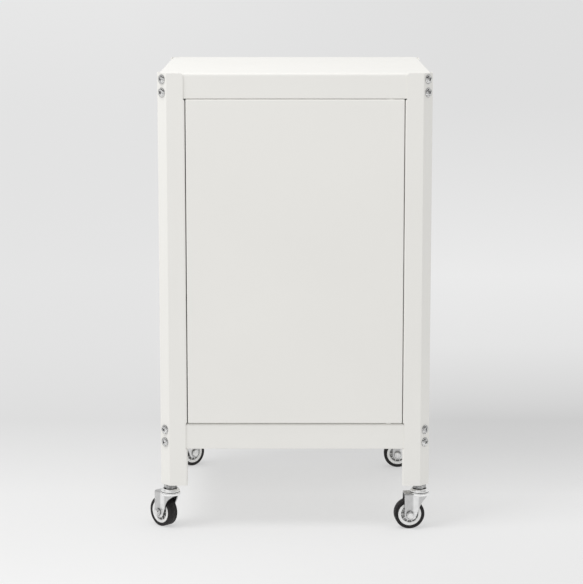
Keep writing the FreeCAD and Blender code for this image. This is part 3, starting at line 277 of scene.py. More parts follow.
def plastic(name, low, high, rough, shade=0):
    """A moulded plastic with a fine texture, and painted shade in its pockets where shade is set.
    """
    material, tree, shader = principled(name, 0, 0.45)
    tone = ramp(tree, noise(tree, 260, 3), [(0.3, low), (0.7, high)])
    if shade:
        tone = multiplied(tree, tone, painted_crevice_shade(tree, shade, 0.22, 0.25, 0.75))
    tree.links.new(tone, shader.inputs["Base Color"])
    tree.links.new(spread(tree, noise(tree, 520, 2), *rough), shader.inputs["Roughness"])
    bump(tree, shader, noise(tree, 2340, 2), 0.00001, 0.6)
    return material


def rubber(name, low, high, rough, scuff=None):
    """Matt rubber, paler where the floor has scuffed it."""
    material, tree, shader = principled(name, 0, 0.3)
    stops = [(0.35, low), (0.62, high)]
    if scuff:
        stops.append((0.74, scuff))
    tree.links.new(ramp(tree, noise(tree, 320, 5), stops), shader.inputs["Base Color"])
    tree.links.new(spread(tree, noise(tree, 700, 3), *rough), shader.inputs["Roughness"])
    bump(tree, shader, noise(tree, 2400, 3), 0.00002, 0.7)
    return material


FINISH = {
    "painted_sheet": powder_coat(),
    "plated_screws": metal("nickel_plate", 0.66, 0.88, (0.2, 0.3), 260),
    "zinc_plate": metal(
        "zinc_plate", 0.60, 0.74, (0.30, 0.42), 140, grain=(1, 1, 0.2), wear=0.00002
    ),
    # Caster heads: painted shade on the cup where it sits close under the post.
    "caster_head": metal("bright_zinc", 0.84, 0.96, (0.16, 0.24), 200, shade=0.006),
    "tyre_rubber": rubber(
        "tyre_rubber", (0.013, 0.012, 0.0125), (0.019, 0.0175, 0.018), (0.55, 0.72),
        (0.035, 0.034, 0.033),
    ),
    # Wheel cores: painted shade in the web between the ribs.
    "wheel_plastic": plastic(
        "wheel_plastic", (0.90, 0.90, 0.89), (0.94, 0.94, 0.93), (0.35, 0.48), shade=0.006
    ),
    "spring_steel": metal("spring_steel", 0.42, 0.60, (0.2, 0.32), 300),
    "nylon": plastic("nylon", (0.80, 0.79, 0.74), (0.86, 0.85, 0.81), (0.4, 0.5)),
    "latch_plastic": plastic(
        "latch_plastic", (0.62, 0.62, 0.61), (0.68, 0.68, 0.67), (0.42, 0.55)
    ),
    "magnet_steel": metal("magnet_steel", 0.40, 0.56, (0.18, 0.3), 400),
    "bumper_rubber": rubber(
        "bumper_rubber", (0.20, 0.20, 0.20), (0.26, 0.26, 0.255), (0.6, 0.75)
    ),
}
FORK_METAL = fork_metal()
# Screw heads: mottle partly their own tone, partly painted reflection; painted shade in the
# recesses.
SCREW_METAL = metal("screw_plate", 0.26, 0.92, (0.10, 0.22), 560, shade=0.0026, dents=0.00014)
# Stem nuts: painted shade where they sit close under the posts.
NUT_METAL = metal("nut_zinc", 0.22, 0.62, (0.18, 0.32), 300, shade=0.007)


# Mesh helpers
MERGE_WITHIN = 1e-7


def as_mesh(name, verts, faces, sharp_angle=32):
    mesh = bpy.data.meshes.new(name)
    mesh.from_pydata([tuple(c * MM for c in v) for v in verts], [], faces)
    work = bmesh.new()
    work.from_mesh(mesh)
    bmesh.ops.remove_doubles(work, verts=work.verts, dist=MERGE_WITHIN)
    bmesh.ops.recalc_face_normals(work, faces=work.faces)
    work.to_mesh(mesh)
    work.free()
    finish_mesh(mesh, sharp_angle)
    return mesh


def finish_mesh(mesh, sharp_angle=32):
    for face in mesh.polygons:
        face.use_smooth = True
    mesh.set_sharp_from_angle(angle=math.radians(sharp_angle))
    mesh.update()


def joined(shapes):
    """Several (vertices, faces) as one."""
    verts = []
    faces = []
    for more_verts, more_faces in shapes:
        offset = len(verts)
        verts.extend(more_verts)
        faces.extend([tuple(i + offset for i in face) for face in more_faces])
    return verts, faces


def moved(shape, matrix):
    """A shape after a turn and shift, which is in millimetres too."""
    verts, faces = shape
    return [tuple(matrix @ Vector(v)) for v in verts], faces


def placed(mesh, matrix):
    """A copy of a mesh, moved to its place."""
    copy = mesh.copy()
    copy.transform(matrix)
    return copy


def piece(name, mesh, slot, body, nodes=(), matrix=None, material=None):
    """A new object that rides on a body and stands for the CAD nodes named."""
    thing = show(bpy.data.objects.new(name, mesh))
    if matrix is not None:
        thing.matrix_world = matrix
    mesh.materials.clear()
    mesh.materials.append(material or FINISH[slot])
    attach(thing, body)
    if nodes:
        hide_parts(*nodes)
    return thing


def with_modifiers(mesh, modifiers, sharp_angle=32):
    """The mesh after modifiers given as (kind, settings)."""
    thing = show(bpy.data.objects.new("work", mesh))
    for kind, settings in modifiers:
        modifier = thing.modifiers.new(kind, kind)
        for key, value in settings.items():
            setattr(modifier, key, value)
    graph = bpy.context.evaluated_depsgraph_get()
    made = bpy.data.meshes.new_from_object(thing.evaluated_get(graph))
    bpy.data.objects.remove(thing)
    finish_mesh(made, sharp_angle)
    return made


def without(mesh, cutter):
    """The mesh with another closed mesh cut away from it."""
    tool = show(bpy.data.objects.new("cutter", cutter))
    made = with_modifiers(
        mesh, [("BOOLEAN", {"operation": "DIFFERENCE", "solver": "EXACT", "object": tool})]
    )
    bpy.data.objects.remove(tool)
    return made


def rounded(points, steps):
    """A polyline whose corners are given as (x, y, radius) and rounded with arcs."""
    out = []
    count = len(points)
    for i, (x, y, radius) in enumerate(points):
        corner = Vector((x, y))
        if radius == 0 or i in (0, count - 1):
            out.append((x, y))
            continue
        before = Vector(points[i - 1][:2]) - corner
        after = Vector(points[i + 1][:2]) - corner
        half_turn = before.angle(after) / 2
        reach = min(radius / math.tan(half_turn), before.length * 0.49, after.length * 0.49)
        start = corner + before.normalized() * reach
        end = corner + after.normalized() * reach
        middle = (before.normalized() + after.normalized()).normalized()
        centre = corner + middle * (reach / math.cos(half_turn))
        first = start - centre
        sweep = first.angle_signed(end - centre)
        for k in range(steps + 1):
            turned = Matrix.Rotation(-sweep * k / steps, 2) @ first
            out.append(tuple(centre + turned))
    return out


def lathe(profile, steps):
    """Turn (radius, height) points about Z. A closed profile repeats its first point."""
    verts = []
    faces = []
    count = len(profile)
    for i in range(steps):
        angle = 2 * math.pi * i / steps
        for radius, height in profile:
            verts.append((radius * math.cos(angle), radius * math.sin(angle), height))
    for i in range(steps):
        j = (i + 1) % steps
        for k in range(count - 1):
            faces.append((i * count + k, j * count + k, j * count + k + 1, i * count + k + 1))
    return verts, faces


def hex_radius(angle, across):
    """Distance from a hexagon's middle to its side in a direction."""
    sixth = math.pi / 3
    off = (angle + sixth / 2) % sixth - sixth / 2
    return across / 2 / math.cos(off)


def hex_body(across, low, high, bore, ease_high=True):
    """A hexagon with its corners eased by a 30 degree cone, also above unless told not to."""
    steps = 72
    rows = 10
    soft = 0.12
    flat = across / 2 * 0.96
    slope = math.tan(math.radians(30))
    verts = []
    faces = []
    for i in range(steps):
        angle = 2 * math.pi * i / steps
        wide = hex_radius(angle, across)
        drop = (wide - flat) * slope
        low_edge = low + drop
        high_edge = high - (drop if ease_high else 0)
        for radius, z in (
            (bore, low + 0.5),
            (bore + 0.5, low),
            (flat, low),
            (wide - soft, low_edge - soft * slope * 0.4),
            (wide, low_edge + soft),
            (wide, high_edge - soft),
            (wide - soft, high_edge + soft * slope * 0.4),
            (flat, high),
            (bore + 0.5, high),
            (bore, high - 0.5),
        ):
            verts.append((radius * math.cos(angle), radius * math.sin(angle), z))
    for i in range(steps):
        j = (i + 1) % steps
        for k in range(rows):
            n = (k + 1) % rows
            faces.append((i * rows + k, j * rows + k, j * rows + n, i * rows + n))
    return verts, faces


def thread(radius, low, high, pitch, depth, steps=36):
    """A round bar whose surface rises and falls along a helix, closed at the top."""
    per_turn = 6
    rows = int((high - low) / pitch * per_turn) + 1
    verts = []
    faces = []
    for k in range(rows + 1):
        z = low + (high - low) * k / rows
        for i in range(steps):
            share = i / steps
            phase = (z / pitch - share) % 1
            height = abs(phase * 2 - 1)
            fade = min(1, (high - z) / pitch, (z - low) / pitch)
            r = radius - depth * (1 - (1 - height) * fade)
            angle = 2 * math.pi * share
            verts.append((r * math.cos(angle), r * math.sin(angle), z))
    for k in range(rows):
        for i in range(steps):
            j = (i + 1) % steps
            below, above = k * steps, (k + 1) * steps
            faces.append((below + i, below + j, above + j, above + i))
    faces.append(tuple(rows * steps + i for i in range(steps)))
    return verts, faces


def joint(name):
    return next(j for j in frame["joints"] if j["name"] == name)


# Places, from the frame
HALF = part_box("post_front_right")[1].x / MM
CORNER_SETBACK = 13.5
POST_SHEET = 1.5
TRAY_SHEET = 1.0
SCREW_PITCH = 19.0


def corner_places(depth_in):
    """Matrices on the corner chamfers, so far in from the posts' outer face, facing outwards."""
    places = []
    for tray in ("top_tray", "bottom_tray"):
        low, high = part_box(tray)
        middle = (low.z + high.z) / 2 / MM
        for side_x in (-1, 1):
            for side_y in (-1, 1):
                reach = HALF - CORNER_SETBACK / 2 - depth_in / ROOT_TWO
                out = Vector((side_x, side_y, 0)).normalized()
                for z in (middle - SCREW_PITCH / 2, middle + SCREW_PITCH / 2):
                    turn = out.to_track_quat("Z", "Y").to_matrix().to_4x4()
                    spin = Matrix.Rotation(dice.uniform(0, math.pi / 2), 4, "Z")
                    spot = Matrix.Translation((side_x * reach, side_y * reach, z))
                    places.append(spot @ turn @ spin)
    return places


# Corner screws: truss heads with a cross recess, and their nuts inside
HEAD_RADIUS = 7.0
HEAD_HEIGHT = 3.3
SCREW_RADIUS = 3.0
SCREW_LENGTH = 12.0
NUT_HEX = 10
NUT_HEIGHT = 5
RECESS_REACH = 3.1
RECESS_HALF = 0.65
RECESS_DEPTH = 2.0


def cross_cutter():
    """A cross that narrows as it goes down, like a driver's tip."""
    top = HEAD_HEIGHT + 1
    floor = HEAD_HEIGHT - RECESS_DEPTH
    rings = []
    for z, reach, half in (
        (floor, RECESS_REACH * 0.42, RECESS_HALF * 0.7),
        (top, RECESS_REACH * 1.25, RECESS_HALF * 1.1),
    ):
        ring = []
        for quarter in range(4):
            turn = Matrix.Rotation(quarter * math.pi / 2, 2)
            for x, y in ((reach, -half), (reach, half), (half, half)):
                spot = turn @ Vector((x, y))
                ring.append((spot.x, spot.y, z))
        rings.append(ring)
    count = len(rings[0])
    verts = rings[0] + rings[1]
    faces = [tuple(range(count - 1, -1, -1)), tuple(range(count, 2 * count))]
    for i in range(count):
        j = (i + 1) % count
        faces.append((i, j, count + j, count + i))
    return verts, faces


def truss_screw():
    dome = []
    rings = 10
    for k in range(rings + 1):
        swing = math.pi / 2 * k / rings
        dome.append((
            (HEAD_RADIUS - 0.35) * math.cos(swing) ** 0.9,
            0.75 + (HEAD_HEIGHT - 0.75) * math.sin(swing) ** 1.15,
        ))
    brim = [
        (0, -0.2), (SCREW_RADIUS - 0.2, -0.2), (SCREW_RADIUS + 0.2, 0), (HEAD_RADIUS - 0.25, 0),
        (HEAD_RADIUS - 0.06, 0.1), (HEAD_RADIUS, 0.32), (HEAD_RADIUS - 0.1, 0.6),
    ]
    head = as_mesh("head", *lathe(brim + dome, 48))
    head = without(head, as_mesh("cutter", *cross_cutter(), 1))
    verts = [tuple(v.co / MM) for v in head.vertices]
    faces = [tuple(face.vertices) for face in head.polygons]
    shank = thread(SCREW_RADIUS, 0, SCREW_LENGTH, 1.0, 0.45)
    flipped = moved(shank, Matrix.Rotation(math.pi, 4, "X"))
    return joined([(verts, faces), flipped])


def make_corner_fasteners():
    screw = truss_screw()
    screws = joined([moved(screw, m) for m in corner_places(0)])
    piece("corner_screws_fine", as_mesh("corner_screws", *screws, 38), "plated_screws", "cabinet",
          ["corner_screws"], None, SCREW_METAL)
    nut = hex_body(NUT_HEX, -NUT_HEIGHT, 0, SCREW_RADIUS + 0.05)
    nuts = joined([moved(nut, m) for m in corner_places(POST_SHEET + TRAY_SHEET)])
    piece("corner_nuts_fine", as_mesh("corner_nuts", *nuts), "zinc_plate", "cabinet",
          ["corner_nuts"])


# Casters: their sizes come from the frame where it holds them
def half_size(node, axis):
    low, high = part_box(node)
    return (high[axis] - low[axis]) / 2 / MM


def joint_spot(kind, corner):
    return Vector(joint(kind + "_" + corner)["pos_m"]) / MM


WHEEL_RADIUS = half_size("tyre_rear_right", 2)
TYRE_HALF = half_size("tyre_rear_right", 1)
AXLE_RADIUS = 3.0
AXLE_BORE = 3.05
AXLE_HEX = 10
CORE_RADIUS = 17.3
RIM_INSIDE = 12.9
RIBS = 10
STEM_RADIUS = 5.0
STEM_HEX = 17
CUP_RADIUS = 14.4
CUP_LIP = 10.1
RACE_RADIUS = 15.0
TRAIL = (joint_spot("wheel_spin", "rear_right") - joint_spot("swivel_turn", "rear_right")).xy.length
FORK_SHEET = 1.8
HEAD_DEEP = 4.0
LEG_OUTSIDE = half_size("axle_bolt_rear_right", 1) - HEAD_DEEP
FORK_BACK = TRAIL + 8.2
FORK_NOSE = 12.0
FORK_BEND = 2.7
CREASE_BACK = 9.8
CREASE_FRONT = 2.0
NOSE_HALF = 10.6
HUB_HALF_LENGTH = half_size("wheel_core_rear_right", 1)

caster_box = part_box("caster_fork_rear_right")
RACE_TOP = caster_box[1].z / MM
RACE_BOTTOM = RACE_TOP - 3.4
CROWN_TOP = RACE_TOP - 0.72
CROWN_UNDERSIDE = CROWN_TOP - 1.7
FORK_FOOT = caster_box[0].z / MM
CUP_BOTTOM = RACE_TOP + 0.2
CUP_TOP = CUP_BOTTOM + 2.9
LEG_BOTTOM = CUP_TOP + 8.5
STEM_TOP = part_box("caster_stem_front_left")[1].z / MM
NUT_TURNS = {"front_left": 26, "front_right": 30, "rear_right": 11, "rear_left": 47}


def swivel_place(corner):
    """A caster's own frame: its swivel axis is Z and its wheel lies towards +X."""
    stem = Vector(joint("swivel_turn_" + corner)["pos_m"])
    wheel = Vector(joint("wheel_spin_" + corner)["pos_m"])
    turn = math.atan2(wheel.y - stem.y, wheel.x - stem.x)
    return Matrix.Translation((stem.x, stem.y, 0)) @ Matrix.Rotation(turn, 4, "Z")


def wheel_place(corner):
    """A wheel's own frame: its axle is Z and the cap nut is on the +Z side."""
    lift = Matrix.Translation((TRAIL * MM, 0, WHEEL_RADIUS * MM))
    return swivel_place(corner) @ lift @ Matrix.Rotation(-math.pi / 2, 4, "X")


def stem_mesh():
    """Threaded stem, pressed upper race and the riveted end of the king pin."""
    cap_top = RACE_BOTTOM - 0.2
    profile = rounded([
        (0, cap_top - 1.6, 0),
        (4.2, cap_top - 1.6, 1),
        (7, cap_top - 0.8, 0.6),
        (7, cap_top, 0.2),
        (STEM_RADIUS, cap_top, 0.1),
        (STEM_RADIUS, CUP_BOTTOM, 0.1),
        (CUP_RADIUS - 0.5, CUP_BOTTOM, 0.4),
        (CUP_RADIUS, CUP_BOTTOM + 0.7, 0.4),
        (CUP_RADIUS - 0.2, CUP_BOTTOM + 2.2, 1.2),
        (CUP_RADIUS - 1.4, CUP_TOP + 0.9, 1.2),
        (CUP_LIP + 1.2, CUP_TOP + 1.9, 1.0),
        (CUP_LIP, CUP_TOP + 1.9, 0.3),
        (CUP_LIP, CUP_TOP, 0.1),
        (STEM_RADIUS, CUP_TOP, 0),
        (STEM_RADIUS - 0.2, CUP_TOP + 0.3, 0),
    ], 5)
    top = thread(STEM_RADIUS - 0.05, CUP_TOP, STEM_TOP, 1.5, 0.6, 40)
    return as_mesh("caster_stem", *joined([lathe(profile, 72), top]), 38)


def plan_outline():
    """The fork's half plan from its back edge to its nose, as (x, y) with y positive."""
    points = [(FORK_BACK, LEG_OUTSIDE)]
    along = FORK_BACK - CREASE_BACK
    for share in (0.03, 0.08, 0.15, 0.23, 0.32, 0.42, 0.52, 0.62, 0.71, 0.79, 0.86, 0.92, 0.97):
        points.append((FORK_BACK - along * share, LEG_OUTSIDE))
    steps = 10
    for k in range(steps + 1):
        share = k / steps
        ease = share * share * (3 - 2 * share)
        x = CREASE_BACK + (CREASE_FRONT - CREASE_BACK) * share
        points.append((x, LEG_OUTSIDE + (NOSE_HALF - LEG_OUTSIDE) * ease))
    points.append((-1, NOSE_HALF))
    centre = NOSE_HALF - FORK_NOSE
    for k in range(13):
        angle = math.pi / 2 * (1 + k / 12)
        points.append((centre + NOSE_HALF * math.cos(angle), NOSE_HALF * math.sin(angle)))
    return points


def lower_edge():
    """The fork's lower edge seen from the side, as (x, z) from the nose to the back."""
    foot_round = 6.5
    sweep = 12
    return rounded([
        (-FORK_NOSE - 0.01, CROWN_UNDERSIDE - 3, 0),
        (-FORK_NOSE + 8, CROWN_UNDERSIDE - 10.6, sweep),
        (-FORK_NOSE + 13, CROWN_UNDERSIDE - 19, sweep),
        (TRAIL - 7.5, FORK_FOOT, foot_round),
        (FORK_BACK, FORK_FOOT, foot_round),
        (FORK_BACK + 0.01, CROWN_UNDERSIDE - 8, 0),
    ], 12)


def height_on(line, x):
    """The lowest height of a line at x."""
    found = []
    for (x0, z0), (x1, z1) in zip(line, line[1:]):
        if x0 <= x <= x1 and x1 > x0:
            found.append(z0 + (z1 - z0) * (x - x0) / (x1 - x0))
    return min(found) if found else line[0][1]


def fork_mesh():
    """A pressed fork: flat crown, rounded shoulders, two legs and a creased, drawn-in nose."""
    half = plan_outline()
    plan = half + [(x, -y) for x, y in reversed(half[:-1])]
    line = lower_edge()
    bends = 5
    drops = 14
    verts = []
    rows = bends + 1 + drops
    for i, (x, y) in enumerate(plan):
        before = Vector(plan[max(i - 1, 0)])
        after = Vector(plan[min(i + 1, len(plan) - 1)])
        along = (after - before).normalized()
        out = Vector((-along.y, along.x))
        if out.dot(Vector((x - 4, y))) < 0:
            out = -out
        for k in range(bends + 1):
            swing = math.pi / 2 * k / bends
            inward = FORK_BEND * (1 - math.sin(swing))
            z = CROWN_TOP - FORK_BEND * (1 - math.cos(swing))
            verts.append((x - out.x * inward, y - out.y * inward, z))
        top = CROWN_TOP - FORK_BEND
        low = min(height_on(line, x), top - 0.3)
        for k in range(1, drops + 1):
            verts.append((x, y, top + (low - top) * k / drops))
    faces = []
    for i in range(len(plan) - 1):
        for k in range(rows - 1):
            this, following = i * rows + k, (i + 1) * rows + k
            faces.append((this, following, following + 1, this + 1))
    faces.append(tuple(i * rows for i in range(len(plan))))
    sheet = as_mesh("fork_sheet", verts, faces, 40)
    if max(sheet.polygons, key=lambda face: face.area).normal.z < 0:
        sheet.flip_normals()
    return with_modifiers(sheet, [
        ("SOLIDIFY", {"thickness": FORK_SHEET * MM, "offset": -1, "use_even_offset": True}),
        ("BEVEL", {"width": 0.2 * MM, "segments": 2, "limit_method": "ANGLE",
                   "angle_limit": math.radians(50)}),
    ], 40)


def race_mesh():
    """The lower race riveted on the crown, with a rolled edge and a seam."""
    profile = rounded([
        (STEM_RADIUS + 0.1, RACE_BOTTOM + 0.2, 0),
        (RACE_RADIUS - 2.4, RACE_BOTTOM, 0.3),
        (RACE_RADIUS - 1.2, RACE_BOTTOM - 1.5, 0.3),
        (RACE_RADIUS - 0.4, RACE_BOTTOM - 1.4, 0.3),
        (RACE_RADIUS - 0.1, RACE_BOTTOM + 0.3, 0.5),
        (RACE_RADIUS, RACE_BOTTOM + 1.4, 0.5),
        (RACE_RADIUS - 0.35, RACE_BOTTOM + 1.75, 0.1),
        (RACE_RADIUS, RACE_BOTTOM + 2.1, 0.3),
        (RACE_RADIUS - 0.3, RACE_TOP - 0.2, 0.4),
        (RACE_RADIUS - 1.4, RACE_TOP, 0.5),
        (STEM_RADIUS + 0.1, RACE_TOP, 0),
        (STEM_RADIUS + 0.1, RACE_BOTTOM + 0.2, 0),
    ], 4)
    return as_mesh("caster_race", *lathe(profile, 72), 38)


def tyre_mesh():
    """A moulded tread with two fine grooves, a parting line and a stepped side."""
    wide = TYRE_HALF
    seat = CORE_RADIUS
    side = [
        (seat, wide - 1, 0),
        (seat + 0.5, wide - 0.2, 0.3),
        (seat + 1.5, wide, 0.4),
        (seat + 2, wide - 0.35, 0.2),
        (seat + 3.1, wide - 0.35, 0.2),
        (seat + 3.6, wide - 0.05, 0.3),
        (WHEEL_RADIUS - 0.1, wide - 0.95, 1.1),
        (WHEEL_RADIUS - 0.1, wide - 2.6, 0.1),
        (WHEEL_RADIUS - 0.45, wide - 2.8, 0.1),
        (WHEEL_RADIUS - 0.45, wide - 3.2, 0.1),
        (WHEEL_RADIUS - 0.1, wide - 3.4, 0.1),
        (WHEEL_RADIUS - 0.1, 0.3, 0),
        (WHEEL_RADIUS, 0.12, 0),
    ]
    half = rounded(side, 4)
    mirrored = [(r, -z) for r, z in reversed(half)]
    profile = half + mirrored + [half[0]]
    return as_mesh("tyre", *lathe(profile, 96), 30)


def core_mesh():
    """The wheel's rim, web, hub and ribs, moulded in one."""
    half = rounded([
        (AXLE_BORE, HUB_HALF_LENGTH, 0),
        (5.6, HUB_HALF_LENGTH, 0.3),
        (6.1, 3.5, 0.5),
        (RIM_INSIDE - 0.2, 3.5, 0.5),
        (RIM_INSIDE, TYRE_HALF - 1.3, 0.3),
        (RIM_INSIDE + 0.6, TYRE_HALF - 0.9, 0.3),
        (CORE_RADIUS, TYRE_HALF - 0.9, 0),
    ], 3)
    profile = half + [(r, -z) for r, z in reversed(half)] + [half[0]]
    body = lathe(profile, 80)
    ribs = []
    outer = 0.55
    inner = 0.8
    for i in range(RIBS):
        spin = Matrix.Rotation(2 * math.pi * i / RIBS, 4, "Z")
        for side in (1, -1):
            low = 3.3 * side
            high = (TYRE_HALF - 1.9) * side
            verts = []
            for x in (5.3, RIM_INSIDE + 0.3):
                for y, z in ((-inner, low), (-outer, high), (outer, high), (inner, low)):
                    verts.append((x, y, z))
            faces = [(0, 1, 2, 3), (7, 6, 5, 4)]
            for k in range(4):
                n = (k + 1) % 4
                faces.append((k, k + 4, n + 4, n))
            ribs.append(moved((verts, faces), spin))
    return as_mesh("wheel_core", *joined([body] + ribs), 30)


def bolt_mesh():
    """The axle bolt, whose hexagon is on the -Z side."""
    head = hex_body(AXLE_HEX, -LEG_OUTSIDE - HEAD_DEEP, -LEG_OUTSIDE, 0.01, ease_high=False)
    shank = lathe([
        (0, -LEG_OUTSIDE), (AXLE_RADIUS, -LEG_OUTSIDE), (AXLE_RADIUS, LEG_OUTSIDE + 3.6),
        (AXLE_RADIUS - 0.4, LEG_OUTSIDE + 4), (0, LEG_OUTSIDE + 4),
    ], 40)
    return as_mesh("axle_bolt", *joined([head, shank]))


def cap_nut_mesh():
    """A domed nut over the bolt's end."""
    base = hex_body(AXLE_HEX, LEG_OUTSIDE, LEG_OUTSIDE + 4, AXLE_BORE)
    dome = []
    rings = 10
    for k in range(rings + 1):
        swing = math.pi / 2 * k / rings
        height = LEG_OUTSIDE + 3.9 + 2.8 * math.sin(swing) ** 0.35
        dome.append((4.9 * math.cos(swing) ** 0.3, height))
    return as_mesh("axle_nut", *joined([base, lathe(dome, 56)]))


def make_casters():
    stem = stem_mesh()
    fork = fork_mesh()
    race = race_mesh()
    tyre = tyre_mesh()
    core = core_mesh()
    bolt = bolt_mesh()
    nut = cap_nut_mesh()
    stem_nut = hex_body(STEM_HEX, CUP_TOP, LEG_BOTTOM, STEM_RADIUS + 0.05)
    nuts = []
    for corner in CORNERS:
        swivel = "swivel_" + corner
        wheel = "wheel_" + corner
        stand = swivel_place(corner)
        axle = wheel_place(corner)
        piece("stem_fine_" + corner, placed(stem, stand), "caster_head", "cabinet",
              ["caster_stem_" + corner])
        piece("fork_fine_" + corner, fork.copy(), "zinc_plate", swivel,
              ["caster_fork_" + corner], stand, FORK_METAL)
        piece("race_fine_" + corner, placed(race, stand), "caster_head", swivel)
        piece("tyre_fine_" + corner, placed(tyre, axle), "tyre_rubber", wheel, ["tyre_" + corner])
        piece("core_fine_" + corner, placed(core, axle), "wheel_plastic", wheel,
              ["wheel_core_" + corner])
        piece("axle_bolt_fine_" + corner, placed(bolt, axle), "plated_screws", swivel,
              ["axle_bolt_" + corner])
        piece("axle_nut_fine_" + corner, placed(nut, axle), "plated_screws", swivel,
              ["axle_nut_" + corner])
        spot = joint("swivel_turn_" + corner)["pos_m"]
        turn = Matrix.Rotation(math.radians(NUT_TURNS[corner]), 4, "Z")
        nuts.append(moved(stem_nut, Matrix.Translation((spot[0] / MM, spot[1] / MM, 0)) @ turn))
    piece("stem_nuts_fine", as_mesh("stem_nuts", *joined(nuts)), "caster_head", "cabinet",
          ["stem_nuts"], None, NUT_METAL)


# Latch spring: a coil of wire for the latch's plunger, on a mesh of its own
def make_spring():
    low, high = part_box("latch_spring")
    middle = (low + high) / 2
    wire = 0.35
    radius = (high.x - low.x) / 2 / MM - wire
    start = low.y / MM + wire
    length = (high.y - low.y) / MM - 2 * wire
    turns = 6
    around = 12
    per_turn = 28
    verts = []
    faces = []
    count = turns * per_turn + 1
    rise = length / turns / (2 * math.pi)
    for i in range(count):
        angle = 2 * math.pi * i / per_turn
        out = Vector((math.cos(angle), 0, math.sin(angle)))
        along = Vector((-math.sin(angle) * radius, rise, math.cos(angle) * radius)).normalized()
        side = out.cross(along)
        centre = Vector((middle.x / MM, start + rise * angle, middle.z / MM)) + out * radius
        for k in range(around):
            turn = 2 * math.pi * k / around
            verts.append(tuple(centre + (out * math.cos(turn) + side * math.sin(turn)) * wire))
    for i in range(count - 1):
        for k in range(around):
            n = (k + 1) % around
            ring, following = i * around, (i + 1) * around
            faces.append((ring + k, following + k, following + n, ring + n))
    faces.append(tuple(range(around)))
    faces.append(tuple((count - 1) * around + k for k in range(around)))
    spring = piece("latch_spring_fine", as_mesh("latch_spring", verts, faces, 60), "spring_steel",
                   "cabinet", ["latch_spring"])
    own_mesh(spring)


# Finishes on the CAD nodes that stay
def paint_frame():
    for thing in frame["nodes"].values():
        for place in thing.material_slots:
            place.material = FINISH[place.material.name]


# Light: an even studio dome, and one large soft lamp high on the left
KEY_FROM = Vector((-0.425, -0.289, 0.858)).normalized()
KEY_TARGET = Vector((0, 0, 0.35))
KEY_DISTANCE = 3.0
KEY_SIZE = 1.2
KEY_POWER = 37.1
DOME = 0.772
BACKDROP = 0.82
# Greys of the dome from straight down (0) over the horizon (0.5) to straight up (1)
DOME_TONES = [(0.0, grey(0.60)), (0.5, grey(0.85)), (0.62, grey(1)), (1.0, grey(0.97))]
# The same for its front half as gloss sees it, where a dark band gives metal its contrast
BANDED_TONES = [
    (0.0, grey(0.3)), (0.5, grey(1.1)), (0.65, grey(1.2)), (0.69, grey(0.12)),
    (0.82, grey(0.08)), (0.85, grey(1.2)), (0.96, grey(1.2)), (1.0, grey(0.9)),
]


def make_world():
    """The dome. The camera sees it as one plain backdrop."""
    world = bpy.data.worlds.new("studio")
    world.use_nodes = True
    tree = world.node_tree
    aim = axes(tree, add(tree, "ShaderNodeTexCoord").outputs["Generated"])
    level = spread(tree, aim["Z"], 0, 1, -1, 1)
    left_bright = spread(tree, aim["X"], 1.15, 0.55, -0.8, 0.8)
    banded = scaled(tree, ramp(tree, level, BANDED_TONES), left_bright)
    in_front = spread(tree, aim["Y"], 1, 0, -0.25, 0.2)
    gloss = maths(tree, "MULTIPLY", in_front, is_ray(tree, "Glossy"))
    light = mixed(tree, ramp(tree, level, DOME_TONES), banded, gloss)
    seen = mixed(tree, light, (*grey(BACKDROP / DOME), 1), is_ray(tree, "Camera"))
    background = tree.nodes["Background"]
    tree.links.new(seen, background.inputs["Color"])
    background.inputs["Strength"].default_value = DOME
    bpy.context.scene.world = world


def make_key_light():
    data = bpy.data.lights.new("key", "AREA")
    data.shape = "SQUARE"
    data.size = KEY_SIZE
    data.energy = KEY_POWER
    lamp = show(bpy.data.objects.new("key", data))
    lamp.visible_glossy = False
    lamp.location = KEY_TARGET + KEY_FROM * KEY_DISTANCE
    lamp.rotation_euler = (-KEY_FROM).to_track_quat("-Z", "Y").to_euler()
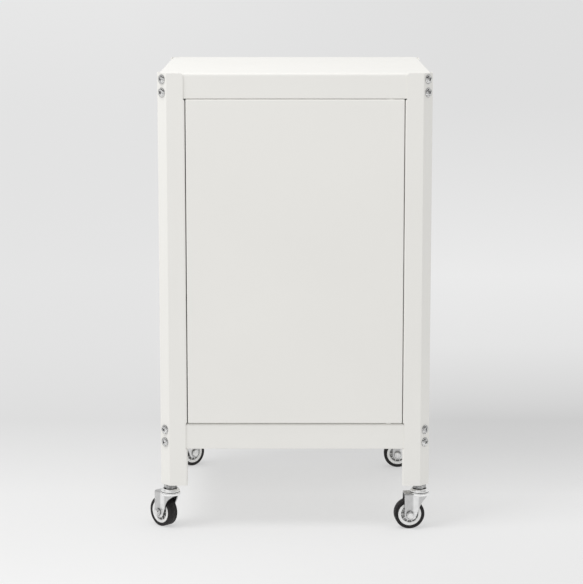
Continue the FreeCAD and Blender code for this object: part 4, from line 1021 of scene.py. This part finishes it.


# Greys of the studio floor from far to near, as (share of the way, left side, right side):
# a paler far end, the broad shade under the cabinet, and a pale front. They are
# fixed in the shared frame, but laid out along the sight lines of the photo's camera:
# the share runs with one over the distance from it, and the sides part within a wedge.
# The trough under the cabinet and the darker middle of the right side are painted shade and painted
# shadow, added to the real shadow that the lights cast.
FLOOR_TONES = [
    (0.00, 0.922, 0.855), (0.17, 0.885, 0.845), (0.46, 0.852, 0.910), (0.58, 0.808, 0.838),
    (0.71, 0.748, 0.668), (0.84, 0.856, 0.895), (0.90, 0.866, 0.866), (1.00, 0.895, 0.850),
]
FLOOR_FAR = 0.0375
FLOOR_NEAR = 0.349
FLOOR_HALF_BLEND = 0.078
FLOOR_CLOSEST = 0.5
# Share of the floor's tone that it gives off itself, and how much more its reflection shows
FLOOR_GLOW = 0.57
GLOSSY_LIFT = 0.2
# Light that reaches the open floor, where a strength of 1 is white
FLOOR_LIGHT = 1.09


def make_floor():
    """A pale floor that glows a little, like a light table, so shadows on it stay soft."""
    mesh = bpy.data.meshes.new("floor")
    r = FLOOR_REACH
    mesh.from_pydata([(-r, -r, 0), (r, -r, 0), (r, r, 0), (-r, r, 0)], [], [(0, 1, 2, 3)])
    floor = show(bpy.data.objects.new("floor", mesh))
    material, tree, shader = principled("floor_paper", 0, 0.0)
    shader.inputs["Roughness"].default_value = 1
    spot = axes(tree, here(tree))
    away = maths(tree, "MAXIMUM", maths(tree, "ADD", spot["Y"], CAMERA_DISTANCE), FLOOR_CLOSEST)
    nearness = maths(tree, "DIVIDE", 1.0, away)
    share = spread(tree, nearness, 0, 1, FLOOR_FAR, FLOOR_NEAR)
    across = maths(tree, "MULTIPLY", spot["X"], nearness)
    aside = spread(tree, across, 0, 1, -FLOOR_HALF_BLEND, FLOOR_HALF_BLEND)
    left = ramp(tree, share, [(stop, grey(tone)) for stop, tone, _ in FLOOR_TONES])
    right = ramp(tree, share, [(stop, grey(tone)) for stop, _, tone in FLOOR_TONES])
    tone = mixed(tree, left, right, aside)
    lit = scaled(tree, tone, (1 - FLOOR_GLOW) / FLOOR_LIGHT)
    lift = maths(tree, "MULTIPLY", is_ray(tree, "Glossy"), FLOOR_GLOW * GLOSSY_LIFT)
    tree.links.new(lit, shader.inputs["Base Color"])
    tree.links.new(tone, shader.inputs["Emission Color"])
    tree.links.new(maths(tree, "ADD", FLOOR_GLOW, lift), shader.inputs["Emission Strength"])
    mesh.materials.append(material)


make_camera()
make_world()
make_floor()
make_key_light()
paint_frame()
make_corner_fasteners()
make_casters()
make_spring()

bpy.context.scene.view_settings.view_transform = "Standard"

bpy.context.view_layer.update()
